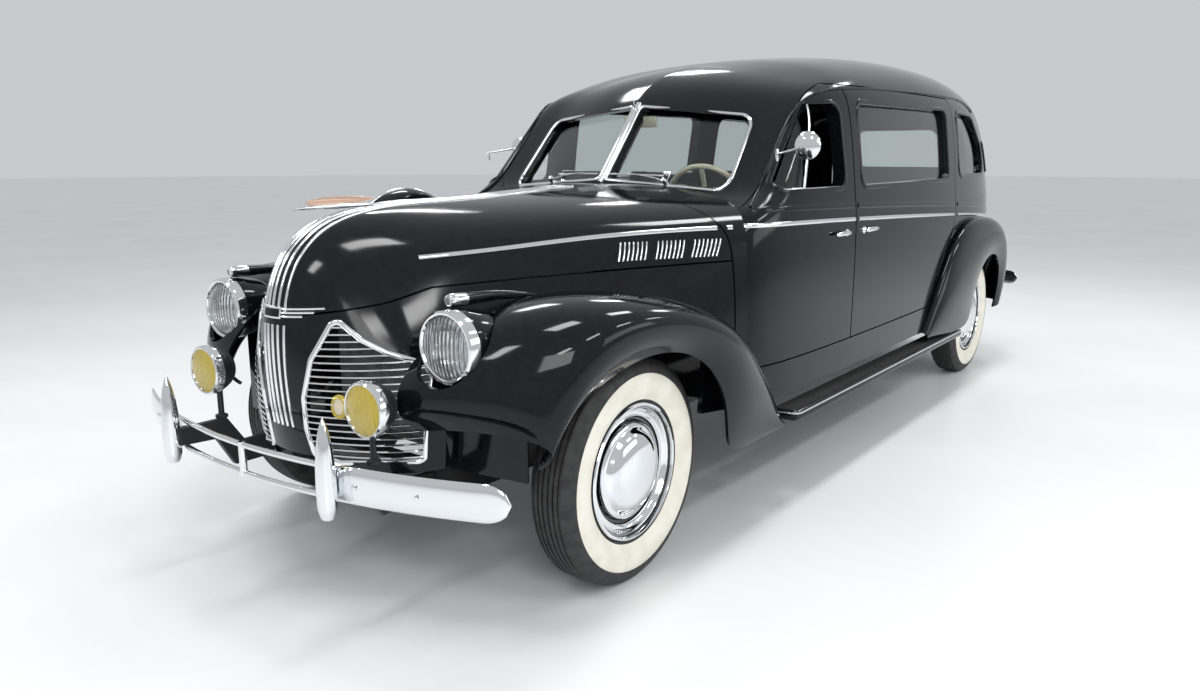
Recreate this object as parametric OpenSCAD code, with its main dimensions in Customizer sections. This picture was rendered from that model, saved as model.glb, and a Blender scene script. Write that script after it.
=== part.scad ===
// Long-wheelbase funeral coach of about 1940, with five doors, an
// alligator hood, pontoon fenders and one side-mounted spare wheel.
// Millimetres. X points forward, Y to the coach's left, Z up. The origin
// is on the ground at the middle of the overall length.

/* [Wheels] */
// Distance between the front and rear axles
wheelbase = 3710; // [3300:10:4100]
// Outer radius of a tyre
tyre_radius = 370; // [340:1:390]
// Width of a tyre at its widest
tyre_width = 165; // [140:1:190]
// Radius of the rim's flange
rim_radius = 222; // [200:1:235]
// Distance between the middles of the two front tyres
front_track = 1452; // [1380:2:1520]
// Distance between the middles of the two rear tyres
rear_track = 1456; // [1380:2:1520]
// Radius of the wheel spindles
spindle_radius = 20; // [14:0.5:26]

/* [Body] */
// Half width of the cabin at its widest
cabin_half_width = 858; // [780:1:890]
// Height of the roof above the ground
roof_height = 1885; // [1750:5:2000]
// Thickness of the cabin wall and of a door
wall = 55; // [35:1:60]
// Thickness of the hood and nose panels
hood_skin = 16; // [12:1:24]
// Half width over the fenders
fender_half_width = 940; // [900:1:960]
// Thickness of a fender panel
fender_skin = 12; // [10:1:16]
// Gap round a door or the hood
panel_gap = 6; // [5:0.5:9]

/* [Openings] */
// Height of the window sills at the front door
sill_height = 1226; // [1190:1:1260]
// Height of the window tops at the front door
window_top = 1560; // [1500:1:1580]
// Radius of a window's corners
window_corner = 50; // [20:1:70]
// Thickness of the glass
glass_thickness = 6; // [5:0.5:8]
// Height of the lower edge of the doors
door_bottom = 565; // [540:1:590]

/* [Running gear] */
// Height of the frame rails' underside
rail_bottom = 320; // [290:1:350]
// Half distance between the frame rails
rail_half_spacing = 370; // [340:1:390]
// Running board top above the ground
board_height = 372; // [350:1:400]

/* [Hidden] */
$fn = 48;
EPS = 0.01;

// The two axles; the overall length is centred on the origin.
front_axle_x = wheelbase / 2 + 145;
rear_axle_x = front_axle_x - wheelbase;
kingpin_y = front_track / 2 - 121;

// The spare wheel stands behind the right front wheel, outside the hood.
spare_radius = tyre_radius - 25;
spare_width = 150;
spare_x = front_axle_x - 530;
spare_z = tyre_radius + 495;
spare_inner_y = 785;
door_notch = 24;

// A station measured backwards from the front axle, and one from the rear axle.
function ahead(d) = front_axle_x - d;
function astern(d) = rear_axle_x - d;

// The propeller shaft's height under the cabin, and the steering column.
shaft_z = rail_bottom + 57;
column_axis = [-0.9397, 0, 0.342];
wheel_hub = [ahead(1160), 360, 1124];
column_foot = wheel_hub - 288.5 * column_axis;

// Half widths are drawn for a cabin 858 wide each side, heights above the
// belt for a roof at 1885, and both follow the driving sizes.
belt_height = 1120;
function wide(y) = y * cabin_half_width / 858;
function high(z) = z <= belt_height ? z
    : belt_height + (z - belt_height) * (roof_height - belt_height) / (1885 - belt_height);

// ---------------------------------------------------------------- surfaces
// Smooth panels are bicubic B-spline surfaces over small nets of points.

function blend4(a, b, c, d, t) =
    (pow(1 - t, 3) * a + (3 * pow(t, 3) - 6 * t * t + 4) * b
    + (-3 * pow(t, 3) + 3 * t * t + 3 * t + 1) * c + pow(t, 3) * d) / 6;

function mirrored(p) = [p[0], -p[1], p[2]];

// The list with one point added before and after: the far side's mirror
// image where the surface crosses the middle, else a straight extension.
function padded(pts, start_mirror, end_mirror) = let (n = len(pts)) concat(
    [start_mirror ? mirrored(pts[1]) : 2 * pts[0] - pts[1]],
    pts,
    [end_mirror ? mirrored(pts[n - 2]) : 2 * pts[n - 1] - pts[n - 2]]);

// Points along the B-spline over pts, in the given number of steps.
function spline(pts, steps, start_mirror = false, end_mirror = false) =
    let (q = padded(pts, start_mirror, end_mirror), spans = len(pts) - 1)
    [for (k = [0 : steps])
        let (s = k * spans / steps, i = min(floor(s), spans - 1))
        blend4(q[i], q[i + 1], q[i + 2], q[i + 3], s - i)];

function column(net, j) = [for (row = net) row[j]];
function transpose(net) = [for (j = [0 : len(net[0]) - 1]) column(net, j)];

// A grid of points on the surface: rows run up the net, columns along it.
function surface_grid(net, up, along, mid = [false, false, false, false]) =
    let (rows = [for (row = net) spline(row, along, mid[2], mid[3])])
    transpose([for (col = transpose(rows)) spline(col, up, mid[0], mid[1])]);

function unit(v) = v / max(norm(v), 1e-9);

// The unit normal of a grid at [i][j]; at a mirrored edge it lies in the middle plane.
function normal_at(g, i, j, mid) = let (
    m = len(g) - 1, n = len(g[0]) - 1,
    up = i == 0 ? (mid[0] ? g[1][j] - mirrored(g[1][j]) : g[1][j] - g[0][j])
        : i == m ? (mid[1] ? mirrored(g[m - 1][j]) - g[m - 1][j] : g[m][j] - g[m - 1][j])
        : g[i + 1][j] - g[i - 1][j],
    along = j == 0 ? (mid[2] ? g[i][1] - mirrored(g[i][1]) : g[i][1] - g[i][0])
        : j == n ? (mid[3] ? mirrored(g[i][n - 1]) - g[i][n - 1] : g[i][n] - g[i][n - 1])
        : g[i][j + 1] - g[i][j - 1])
    unit(cross(along, up));

// The grid moved by d along its normals.
function offset_grid(g, d, mid = [false, false, false, false]) =
    [for (i = [0 : len(g) - 1]) [for (j = [0 : len(g[0]) - 1]) g[i][j] + d * normal_at(g, i, j, mid)]];

function flat(lists) = [for (l = lists) for (p = l) p];

// A closed panel between two grids of the same size.
module panel(outer, inner) {
    m = len(outer);
    n = len(outer[0]);
    function a(i, j) = i * n + j;
    function b(i, j) = m * n + i * n + j;
    skins = flat([for (i = [0 : m - 2]) flat([for (j = [0 : n - 2]) [
        [a(i, j), a(i + 1, j), a(i + 1, j + 1)], [a(i, j), a(i + 1, j + 1), a(i, j + 1)],
        [b(i, j), b(i + 1, j + 1), b(i + 1, j)], [b(i, j), b(i, j + 1), b(i + 1, j + 1)]]])]);
    sides = flat([for (i = [0 : m - 2]) [
        [a(i, 0), b(i, 0), b(i + 1, 0)], [a(i, 0), b(i + 1, 0), a(i + 1, 0)],
        [a(i, n - 1), b(i + 1, n - 1), b(i, n - 1)], [a(i, n - 1), a(i + 1, n - 1), b(i + 1, n - 1)]]]);
    ends = flat([for (j = [0 : n - 2]) [
        [a(0, j), b(0, j + 1), b(0, j)], [a(0, j), a(0, j + 1), b(0, j + 1)],
        [a(m - 1, j), b(m - 1, j), b(m - 1, j + 1)], [a(m - 1, j), b(m - 1, j + 1), a(m - 1, j + 1)]]]);
    polyhedron(points = concat(flat(outer), flat(inner)), faces = concat(skins, sides, ends));
}

// Keeps its children together as one smooth-panel mesh.
module as_panel() {
    resize([0, 0, 0]) children();
}

// The part on the left, or its mirror image on the right.
module on_side(side) {
    if (side > 0) children();
    else mirror([0, 1, 0]) children();
}

// A side-view outline, given as [x, z] points, pushed across from y0 to y1.
module across(outline, y0, y1) {
    translate([0, y1, 0]) rotate([90, 0, 0]) linear_extrude(y1 - y0) polygon(outline);
}

// A corner of an outline rounded by an arc of radius r, between its neighbours.
function arc_corner(a, p, b, r, steps = 5) = let (
    u = unit(a - p), v = unit(b - p),
    half = acos(max(-1, min(1, u * v))) / 2,
    cut = min(r / tan(half), 0.48 * min(norm(a - p), norm(b - p))),
    rr = cut * tan(half),
    c = p + unit(u + v) * (rr / sin(half)),
    s = p + u * cut, e = p + v * cut,
    a0 = atan2(s[1] - c[1], s[0] - c[0]),
    a1 = atan2(e[1] - c[1], e[0] - c[0]),
    turn = a1 - a0 > 180 ? a1 - a0 - 360 : a1 - a0 < -180 ? a1 - a0 + 360 : a1 - a0)
    [for (k = [0 : steps]) c + rr * [cos(a0 + turn * k / steps), sin(a0 + turn * k / steps)]];

// An outline of [x, y, radius] corners with each corner rounded.
function rounded(c) = let (n = len(c)) flat([for (i = [0 : n - 1])
    let (a = c[(i + n - 1) % n], p = c[i], b = c[(i + 1) % n])
    p[2] > 0 ? arc_corner([a[0], a[1]], [p[0], p[1]], [b[0], b[1]], p[2]) : [[p[0], p[1]]]]);

// ------------------------------------------------------------- cabin shape
// Rows are levels from the sill to the roof's middle; columns run from the
// windshield's middle round the left side to the middle of the back. The
// first six stations are behind the front axle, the rest behind the rear one.

function cabin_row(ds, ys, zs) = [for (i = [0 : 11]) [
    i < 6 ? ahead(ds[i]) : astern(ds[i]), wide(ys[i]), high(is_num(zs) ? zs : zs[i])]];

cabin_net = [
    cabin_row([708, 708, 708, 715, 1100, 1590, -1380, -640, 160, 710, 900, 930],
        [0, 330, 660, 805, 840, 852, 855, 850, 805, 660, 345, 0], 430),
    cabin_row([708, 708, 708, 712, 1100, 1590, -1380, -640, 170, 740, 950, 985],
        [0, 330, 660, 808, 844, 856, 860, 855, 810, 670, 350, 0], 700),
    cabin_row([708, 708, 708, 712, 1100, 1590, -1380, -640, 180, 750, 960, 995],
        [0, 330, 650, 805, 842, 856, 862, 856, 808, 668, 350, 0], 950),
    cabin_row([708, 708, 708, 730, 1100, 1590, -1380, -640, 180, 730, 940, 970],
        [0, 320, 630, 790, 832, 852, 858, 852, 800, 660, 345, 0], 1120),
    cabin_row([800, 840, 930, 860, 1110, 1590, -1380, -640, 175, 710, 915, 945],
        [0, 310, 600, 775, 820, 844, 850, 845, 792, 655, 342, 0], 1185),
    cabin_row([862, 905, 1010, 972, 1140, 1590, -1380, -640, 170, 700, 895, 925],
        [0, 300, 590, 762, 812, 838, 844, 840, 786, 650, 340, 0], 1240),
    cabin_row([1000, 1040, 1150, 1120, 1270, 1610, -1380, -640, 140, 640, 830, 860],
        [0, 290, 572, 738, 792, 822, 828, 822, 768, 635, 330, 0], 1400),
    cabin_row([1105, 1148, 1258, 1235, 1360, 1630, -1380, -645, 100, 580, 760, 790],
        [0, 280, 555, 712, 772, 806, 812, 805, 748, 615, 318, 0], 1530),
    cabin_row([1195, 1240, 1345, 1335, 1440, 1650, -1380, -660, 50, 500, 660, 685],
        [0, 270, 530, 672, 738, 782, 790, 780, 710, 570, 295, 0],
        [1628, 1626, 1620, 1622, 1634, 1645, 1652, 1654, 1656, 1655, 1655, 1655]),
    cabin_row([1310, 1345, 1440, 1480, 1570, 1720, -1380, -690, -20, 370, 500, 520],
        [0, 235, 440, 550, 640, 690, 700, 690, 610, 460, 245, 0],
        [1698, 1692, 1682, 1682, 1696, 1722, 1758, 1768, 1768, 1758, 1748, 1745]),
    cabin_row([1470, 1500, 1580, 1620, 1710, 1840, -1360, -740, -180, 180, 310, 330],
        [0, 175, 310, 390, 450, 490, 500, 490, 420, 300, 160, 0],
        [1745, 1743, 1740, 1744, 1764, 1794, 1842, 1860, 1856, 1836, 1824, 1822]),
    cabin_row([1640, 1650, 1680, 1720, 1850, 1990, -1280, -780, -340, 0, 100, 120],
        [0, 0, 0, 0, 0, 0, 0, 0, 0, 0, 0, 0],
        [1778, 1779, 1784, 1792, 1814, 1838, 1884, 1902, 1898, 1880, 1870, 1868])
];

cabin_mid = [false, true, false, true];
cabin_outer = surface_grid(cabin_net, 20, 30, cabin_mid);
cabin_normals = [false, true, true, true];
cabin_inner = offset_grid(cabin_outer, -wall, cabin_normals);

// The left half of the cabin's wall, and the same half filled to the middle.
module cabin_half() {
    panel(cabin_outer, cabin_inner);
}
module cabin_core() {
    panel(cabin_outer, [for (row = cabin_outer) [for (p = row) [p[0], -20, p[2]]]]);
}
// The room inside the cabin's surface, d in from it, on both sides.
module cabin_room(d) {
    inset = offset_grid(cabin_outer, -d, cabin_normals);
    both_halves() panel(inset, [for (row = inset) [for (p = row) [p[0], -20, p[2]]]]);
}
// Where the spare wheel stands, with room g all round.
module spare_space(g) {
    translate([spare_x, g - spare_inner_y, spare_z]) rotate([90, 0, 0])
        cylinder(h = spare_width + 2 * g + 40, r = spare_radius + g, $fn = 96);
}
// The same round shape right through the cabin's side wall.
module spare_disc(g) {
    translate([spare_x, -600, spare_z]) rotate([90, 0, 0])
        cylinder(h = 400, r = spare_radius + g, $fn = 96);
}
// ------------------------------------------------------ hood and nose shape
// Rows are levels from the bottom of the nose to the hood's middle; columns
// run from the nose's middle round the left side to the cowl.

function nose_row(ds, ys, zs) = [for (i = [0 : 7]) [
    ahead(ds[i]), i < 5 ? ys[i] : ys[i] + (wide(ys[i]) - ys[i]) * (i - 4) / 3, is_num(zs) ? zs : zs[i]]];

nose_net = [
    nose_row([-705, -690, -635, -530, -350, -30, 420, 715], [0, 110, 260, 400, 440, 500, 680, 800], 430),
    nose_row([-740, -720, -660, -545, -350, -30, 420, 702], [0, 110, 265, 410, 450, 510, 690, 806], 560),
    nose_row([-755, -732, -668, -540, -340, -30, 420, 702], [0, 100, 250, 385, 440, 510, 690, 806], 720),
    nose_row([-752, -728, -650, -510, -310, -10, 420, 702], [0, 85, 205, 310, 375, 470, 670, 802], 880),
    nose_row([-728, -702, -615, -465, -260, 20, 420, 702], [0, 75, 175, 260, 335, 440, 640, 792], 1000),
    nose_row([-668, -645, -560, -410, -210, 70, 430, 715], [0, 65, 145, 225, 305, 410, 600, 775],
        [1095, 1093, 1090, 1088, 1090, 1095, 1105, 1120]),
    nose_row([-555, -538, -465, -330, -140, 120, 480, 860], [0, 55, 115, 175, 245, 340, 480, 640],
        [1170, 1166, 1158, 1150, 1152, 1160, 1180, 1200]),
    nose_row([-370, -360, -305, -190, -30, 190, 530, 900], [0, 35, 70, 105, 135, 190, 260, 330],
        [1202, 1200, 1198, 1197, 1198, 1205, 1220, 1236]),
    nose_row([-150, -145, -105, -20, 90, 270, 570, 900], [0, 0, 0, 0, 0, 0, 0, 0],
        [1212, 1212, 1212, 1213, 1216, 1222, 1236, 1250])
];
nose_mid = [false, true, true, false];
nose_outer = surface_grid(nose_net, 16, 22, nose_mid);
nose_inner = offset_grid(nose_outer, -hood_skin, nose_mid);

module nose_half() {
    panel(nose_outer, nose_inner);
}
module nose_core() {
    panel(nose_outer, [for (row = nose_outer) [for (p = row) [p[0], -20, p[2]]]]);
}

// ------------------------------------------------------------ fender shapes
// Each column is one slice across the fender, given by its crown and its
// lip; columns run from the front foot over the wheel to the tail.

// [share of the way from crown to lip, share of the way from inner to outer edge]
fender_slice = [[1, 0.84, 1], [0.62, 0.98, 1], [0.25, 0.95, 0.85], [0.05, 0.74, 0.55], [0, 0.45, 0.2],
    [0.06, 0.2, 0.05], [0.22, 0, 0]];

// Each slice is [crown station, crown height, lip station, lip height, inner half
// width, share of the full half width, how much its end is rounded in plan],
// with stations forward of the axle.
function fender_net(slices, axle, outer) = [
    for (s = fender_slice) [for (c = slices)
        [axle + c[0] + (s[0] + (s[2] - s[0]) * c[6]) * (c[2] - c[0]),
            c[4] + s[1] * (c[5] * outer - c[4]), c[1] + s[0] * (c[3] - c[1])]]];

front_slices = [
    [590, 610, 450, 500, 450, 0.90, 1], [650, 660, 440, 525, 430, 0.91, 1],
        [655, 750, 400, 590, 420, 0.93, 1],
    [560, 868, 330, 670, 430, 0.96, 0.8], [395, 950, 195, 740, 440, 0.99, 0.4],
        [140, 972, 40, 775, 480, 1.01, 0],
    [-200, 915, -150, 755, 560, 1.02, 0], [-450, 812, -310, 645, 660, 1.02, 0],
        [-620, 680, -385, 510, 740, 1, 0],
    [-760, 545, -405, 380, 780, 0.98, 0], [-850, 430, -480, 320, 800, 0.96, 0],
        [-890, 345, -860, 320, 800, 0.95, 0]
];
front_net = fender_net(front_slices, front_axle_x, fender_half_width);
front_outer = surface_grid(front_net, 10, 28);
front_inner = offset_grid(front_outer, -fender_skin);

rear_slices = [
    [1110, 430, 1085, 380, 820, 0.95, 0], [1040, 525, 800, 376, 818, 0.98, 0],
        [920, 690, 580, 375, 816, 1, 0],
    [730, 880, 430, 400, 815, 1, 0], [480, 985, 385, 560, 812, 1, 0], [180, 1003, 220, 725, 800, 1, 0],
    [-110, 980, 0, 775, 780, 1, 0], [-370, 892, -220, 715, 750, 0.99, 0.2],
        [-570, 740, -350, 580, 710, 0.97, 0.4],
    [-665, 565, -390, 440, 680, 0.95, 0.5], [-600, 395, -400, 365, 680, 0.93, 0.5]
];
rear_net = fender_net(rear_slices, rear_axle_x, fender_half_width - 10);
rear_outer = surface_grid(rear_net, 10, 26);
rear_inner = offset_grid(rear_outer, -fender_skin);

// ---------------------------------------------------------------- outlines
// Side-view outlines, as [x, z, corner radius].

b_line = ahead(1585);
vent_x = ahead(1148);
door_gap = panel_gap + 3;
rear_door_x = astern(-660);
front_door_x = ahead(713);
hood_rear_x = ahead(645);

module front_door_area(g) {
    across(rounded([
        [front_door_x + g, door_bottom - g, 0], [front_door_x + g, high(1170), 20],
        [ahead(885) + g, high(1225) + g, 20], [ahead(1200) + g, high(1600) + g, 60],
        [ahead(1290) + g, high(1648) + g, 30], [b_line - g, high(1652) + g, 0],
        [b_line - g, door_bottom - g, 0]]), 690 - g, 1000);
}
module rear_door_area(g) {
    across(rounded([
        [b_line - door_gap + g, door_bottom - g, 0], [b_line - door_gap + g, high(1652) + g, 0],
        [rear_door_x - g, high(1655) + g, 40], [rear_door_x - g, 980 - g, 30],
        [rear_door_x + 200 - 0.8 * g, 840 - 0.8 * g, 60], [rear_door_x + 350 - 0.8 * g, door_bottom +
            30 - 0.8 * g, 30],
        [rear_door_x + 400, door_bottom - 1.2 * g, 0]]), 715 - g, 1000);
}
module front_window() {
    across(rounded([
        [ahead(990), sill_height, 15], [ahead(1225), window_top, window_corner],
        [ahead(1500), window_top + 12, window_corner], [ahead(1500), sill_height, window_corner]]), 690,
            1100);
}
module rear_window() {
    across(rounded([
        [b_line - 90, sill_height, window_corner], [b_line - 90, window_top + 20, window_corner],
        [rear_door_x + 130, window_top + 30, window_corner],
            [rear_door_x + 130, sill_height + 8, window_corner]]), 400, 1100);
}
module quarter_window() {
    across(rounded([
        [astern(-560), 1245, window_corner], [astern(-560), window_top + 30, window_corner],
        [astern(-150), window_top + 20, 130], [astern(90), 1400, 120],
            [astern(110), 1248, window_corner]]), 400, 1100);
}
module windshield_area(g) {
    // The left pane's opening, from the front.
    rotate([90, 0, 90]) translate([0, 0, ahead(1500)]) linear_extrude(900)
        polygon(rounded([[22 - g, high(1262) - g, 12], [22 - g, high(1560) + g, 12],
            [525 + g, high(1512) + g, 60], [552 + g, high(1222) - g, 40]]));
}
module back_door_area(g) {
    // Narrows inwards, so that the far edge clears its frame as it swings.
    translate([astern(1190), 0, 1060]) rotate([90, 0, 90]) linear_extrude(900, scale = 0.57)
        polygon(rounded([[-620 - g, -560 - g, 50], [620 + g, -560 - g, 50], [600 + g, 500, 200],
            [500 + g, 790 + g, 120], [-500 - g, 790 + g, 120], [-600 - g, 500, 200]]));
}
module back_window() {
    rotate([90, 0, 90]) translate([0, 0, astern(1200)]) linear_extrude(1100)
        polygon(rounded([[-330, 1270, 60], [330, 1270, 60], [300, 1530, 80], [-300, 1530, 80]]));
}

// Round openings in the cabin's lower wall over the rear wheels.
module rear_wheel_cut() {
    translate([rear_axle_x, 0, tyre_radius]) rotate([90, 0, 0])
        cylinder(h = 2400, r = tyre_radius + 50, center = true);
    translate([rear_axle_x - tyre_radius - 50, -1200, 300])
        cube([2 * tyre_radius + 100, 2400, tyre_radius - 300 + EPS]);
}

// The hood's lower edge, seen from the side.
module hood_area(g) {
    across([[ahead(1100), 988 - g], [ahead(-390), 962 - g], [ahead(-520), 930 - g], [ahead(-800), 885 - g],
        [ahead(-800), 1400], [ahead(1100), 1400]], -1000, 1000);
}

module both_halves() {
    children();
    mirror([0, 1, 0]) children();
}

module slice_all(x0, x1) {
    translate([x0, -1200, 0]) cube([x1 - x0, 2400, 2400]);
}

// ------------------------------------------------------------------ panels

module cabin_shell() {
    color("#15161a") as_panel() difference() {
        union() {
            both_halves() difference() {
                cabin_half();
                front_door_area(panel_gap);
                rear_door_area(panel_gap);
                front_window();
                quarter_window();
                windshield_area(0);
                back_door_area(panel_gap * 1.4);
                rear_wheel_cut();
            }
            // The wall behind the spare wheel, where the right front door stops short.
            intersection() {
                mirror([0, 1, 0]) cabin_half();
                spare_disc(door_notch - panel_gap);
                slice_all(spare_x - 600, front_door_x + 20);
            }
        }
        spare_space(8);
    }
}
module front_door(spare) {
    color("#15161a") as_panel() difference() {
        intersection() {
            cabin_half();
            front_door_area(0);
        }
        front_window();
        door_rebate(b_line - 1);
        if (spare) mirror([0, 1, 0]) spare_disc(door_notch);
    }
    color("#c8ccd2") translate([b_line + 90, wide(866), 1022]) rounded_bar(130, 14, 22);
}
// The inner part of a door's closing edge is set back behind an outer lip.
module door_rebate(x) {
    intersection() {
        cabin_room(12);
        translate([x, 0, 0]) cube([9, 1200, 3000]);
    }
}
module rear_door() {
    color("#15161a") as_panel() difference() {
        intersection() {
            cabin_half();
            rear_door_area(0);
        }
        rear_window();
        door_rebate(b_line - door_gap - 8);
    }
    color("#c8ccd2") translate([b_line - 220, wide(868), 1020]) rounded_bar(130, 14, 22);
}
module rounded_bar(l, w, h) {
    translate([0, w / 2 + 8, h / 2]) rotate([0, 90, 0]) cylinder(h = l, r = w / 2, $fn = 16);
    for (x = [12, l - 12]) translate([x, -14, h / 2]) rotate([-90, 0, 0])
        cylinder(h = w / 2 + 24, r = 6, $fn = 16);
}

module loading_door() {
    color("#15161a") as_panel() difference() {
        both_halves() intersection() {
            cabin_half();
            back_door_area(0);
        }
        back_window();
    }
}

// Glass: the cabin's own surface, thinned, inside each window opening.
glass_outer = offset_grid(cabin_outer, -wall / 2 + glass_thickness / 2, cabin_normals);
glass_inner = offset_grid(cabin_outer, -wall / 2 - glass_thickness / 2, cabin_normals);
module glass_half() {
    panel(glass_outer, glass_inner);
}

module nose_panel() {
    color("#15161a") as_panel() difference() {
        both_halves() difference() {
            nose_half();
            hood_area(0);
            slice_all(ahead(1400), hood_rear_x);
            wheel_well_cut();
            grille_cut(0);
            front_panel_cut();
        }
        spare_space(6);
    }
}
module hood() {
    color("#15161a") as_panel() both_halves() difference() {
        intersection() {
            nose_half();
            translate([0, 0, panel_gap]) hood_area(0);
        }
        slice_all(ahead(1400), hood_rear_x);
    }
}
module cowl_top() {
    color("#15161a") as_panel() difference() {
        both_halves() difference() {
            intersection() {
                nose_half();
                slice_all(ahead(1000), hood_rear_x - panel_gap);
            }
            cabin_core();
        }
        spare_space(6);
    }
}
module wheel_well_cut() {
    translate([front_axle_x - 520, 405, 0]) cube([980, 600, 820]);
}
module front_panel_cut() {
    translate([front_axle_x + 300, 0, 0]) cube([600, 120, 470]);
}
module grille_cut(g) {
    // The left grille's outline, seen from the front.
    rotate([90, 0, 90]) translate([0, 0, ahead(-250)]) linear_extrude(900)
        offset(delta = g) polygon(rounded([[98, 560, 60], [104, 655, 60], [132, 772, 60],
            [179, 888, 12], [242, 830, 60],
            [298, 792, 60], [368, 752, 25], [386, 715, 40], [392, 600, 60], [386, 468, 15],
                [185, 461, 30], [106, 474, 20]]));
}
// The nose again, drawn with fewer steps, for the bars behind the openings.
nose_coarse = surface_grid(nose_net, 8, 14, nose_mid);
module coarse_core(back) {
    panel([for (row = nose_coarse) [for (p = row) [p[0] - back, p[1] - back * 0.1, p[2]]]],
        [for (row = nose_coarse) [for (p = row) [p[0] - back, -20, p[2]]]]);
}
module grilles() {
    // Bars with a rim round them, following the nose a little way in.
    color("#c8ccd2") for (s = [1, -1]) on_side(s) as_panel() intersection() {
        difference() {
            coarse_core(4);
            coarse_core(22);
        }
        union() {
            difference() {
                grille_cut(-1);
                grille_cut(-9);
            }
            intersection() {
                grille_cut(-5);
                for (i = [0 : 20]) translate([0, 0, 479 + 19.5 * i]) cube([4000, 1000, 7]);
            }
        }
    }
}
module front_fender(well) {
    color("#15161a") as_panel() difference() {
        panel(front_outer, front_inner);
        nose_core();
        nose_half();
        cabin_core();
        front_door_area(panel_gap + 2);
        headlamp_room();
        if (well) mirror([0, 1, 0]) spare_space(6);
    }
}
// The hole in the fender for the left headlamp's housing.
module headlamp_room() {
    translate([ahead(-577), 548, 838]) rotate([0, -90, 0]) rotate_extrude($fn = 48)
        polygon([[0, -80], [107, -80], [107, 66], [101, 96], [96, 132], [82, 170], [54, 200], [0, 210]]);
}
module rear_fender() {
    color("#15161a") as_panel() difference() {
        panel(rear_outer, rear_inner);
        cabin_core();
        rear_door_area(panel_gap + 2);
    }
}

// ------------------------------------------------------------ running gear

module chassis_frame() {
    rise = rail_bottom + 160;
    color("#202124") {
        for (s = [1, -1]) on_side(s)
            across([[astern(900), rail_bottom + 20], [astern(640), rail_bottom + 20],
                [astern(480), rise - 40], [astern(350), rise - 10],
                [astern(0), rise], [astern(-350), rise - 10], [astern(-650), rail_bottom],
                    [ahead(-480), rail_bottom],
                [ahead(-480), rail_bottom + 110], [astern(-600), rail_bottom + 110],
                    [astern(-350), rise + 80],
                [astern(350), rise + 80], [astern(560), rail_bottom + 105],
                    [astern(900), rail_bottom + 105]],
                rail_half_spacing - 30, rail_half_spacing + 30);
        // Cross members, with a hole for the propeller shaft in those it passes.
        for (x = [ahead(1300), ahead(2300)]) difference() {
            translate([x - 40, 30 - rail_half_spacing, rail_bottom])
                cube([80, 2 * rail_half_spacing - 60, 110]);
            translate([x - 60, 0, shaft_z]) rotate([0, 90, 0]) cylinder(h = 120, r = 44);
        }
        for (x = [ahead(420), ahead(-420), astern(750)])
            translate([x - 40, 30 - rail_half_spacing, rail_bottom + 30])
                cube([80, 2 * rail_half_spacing - 60, 60]);
    }
}
module floor_pan() {
    // Front floor, the step up over the rear axle, and sills under the doors, all inside the walls.
    color("#26272b") as_panel() intersection() {
        cabin_room(wall + 3);
        union() {
            translate([astern(-620), -780, 450]) cube([ahead(700) - astern(-620), 1560, 24]);
            translate([astern(760), -600, 580]) cube([760 + 590 + 30, 1200, 24]);
            translate([astern(-590), -600, 450]) cube([30, 1200, 154]);
            for (s = [1, -1]) translate([astern(-560), s * 745 - 45, 474])
                cube([ahead(760) - astern(-560), 90, 56]);
        }
    }
}
module running_board() {
    x0 = astern(-575);
    l = ahead(955) - x0;
    color("#1b1b1d") {
        translate([x0, 796, board_height - 42]) cube([l, 96, 38]);
        for (i = [0 : 11]) translate([x0 + 6, 800 + 8 * i, board_height - 5]) cube([l - 12, 4, 5]);
    }
    color("#c8ccd2") {
        translate([x0, 892.5, board_height - 42]) cube([l, 20, 42]);
        translate([x0 + l + 0.5, 796, board_height - 42]) cube([10, 116, 42]);
    }
}
module tube(p, q, r) {
    d = q - p;
    translate(p) rotate([0, acos(d[2] / norm(d)), atan2(d[1], d[0])])
        cylinder(h = norm(d), r = r, $fn = 24);
}

module bumper_blade(radius, half, z, h, t) {
    // A bow-shaped bar of rounded section.
    intersection() {
        translate([-radius, 0, z]) rotate_extrude($fn = 240) translate([radius - t / 2, 0])
            scale([t / h, 1]) circle(r = h / 2, $fn = 20);
        translate([-radius, -half, z - h]) cube([2 * radius, 2 * half, 2 * h]);
    }
}
module guard(h) {
    // A tall pointed bumper guard.
    translate([0, 0, -45]) scale([1, 0.85, 1]) rotate_extrude($fn = 32)
        polygon([[0, 0], [18, 0], [27, 30], [28, 90], [26, h * 0.55], [20, h * 0.78], [11, h * 0.93],
            [0, h]]);
}
module front_bumper() {
    color("#c8ccd2") {
        // Two slim bars between the guards, full blades outside them.
        difference() {
            translate([ahead(-872), 0, 0]) bumper_blade(2100, 880, 490, 108, 22);
            translate([ahead(-1200), -378, 462]) cube([2000, 756, 56]);
        }
        for (s = [1, -1]) translate([ahead(-872), s * 393, 445]) guard(285);
        translate([ahead(-868), -9, 461]) cube([12, 18, 58]);
    }
    // Brackets, from the ends of the frame rails.
    color("#202124") for (s = [1, -1]) on_side(s)
        across([[ahead(-481), rail_bottom + 25], [ahead(-481), rail_bottom + 100],
            [ahead(-640), rail_bottom + 100], [ahead(-700), 510],
            [ahead(-855), 510], [ahead(-855), 445], [ahead(-740), 440], [ahead(-680), rail_bottom + 25]],
            rail_half_spacing - 9, rail_half_spacing + 13);
}
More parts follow.
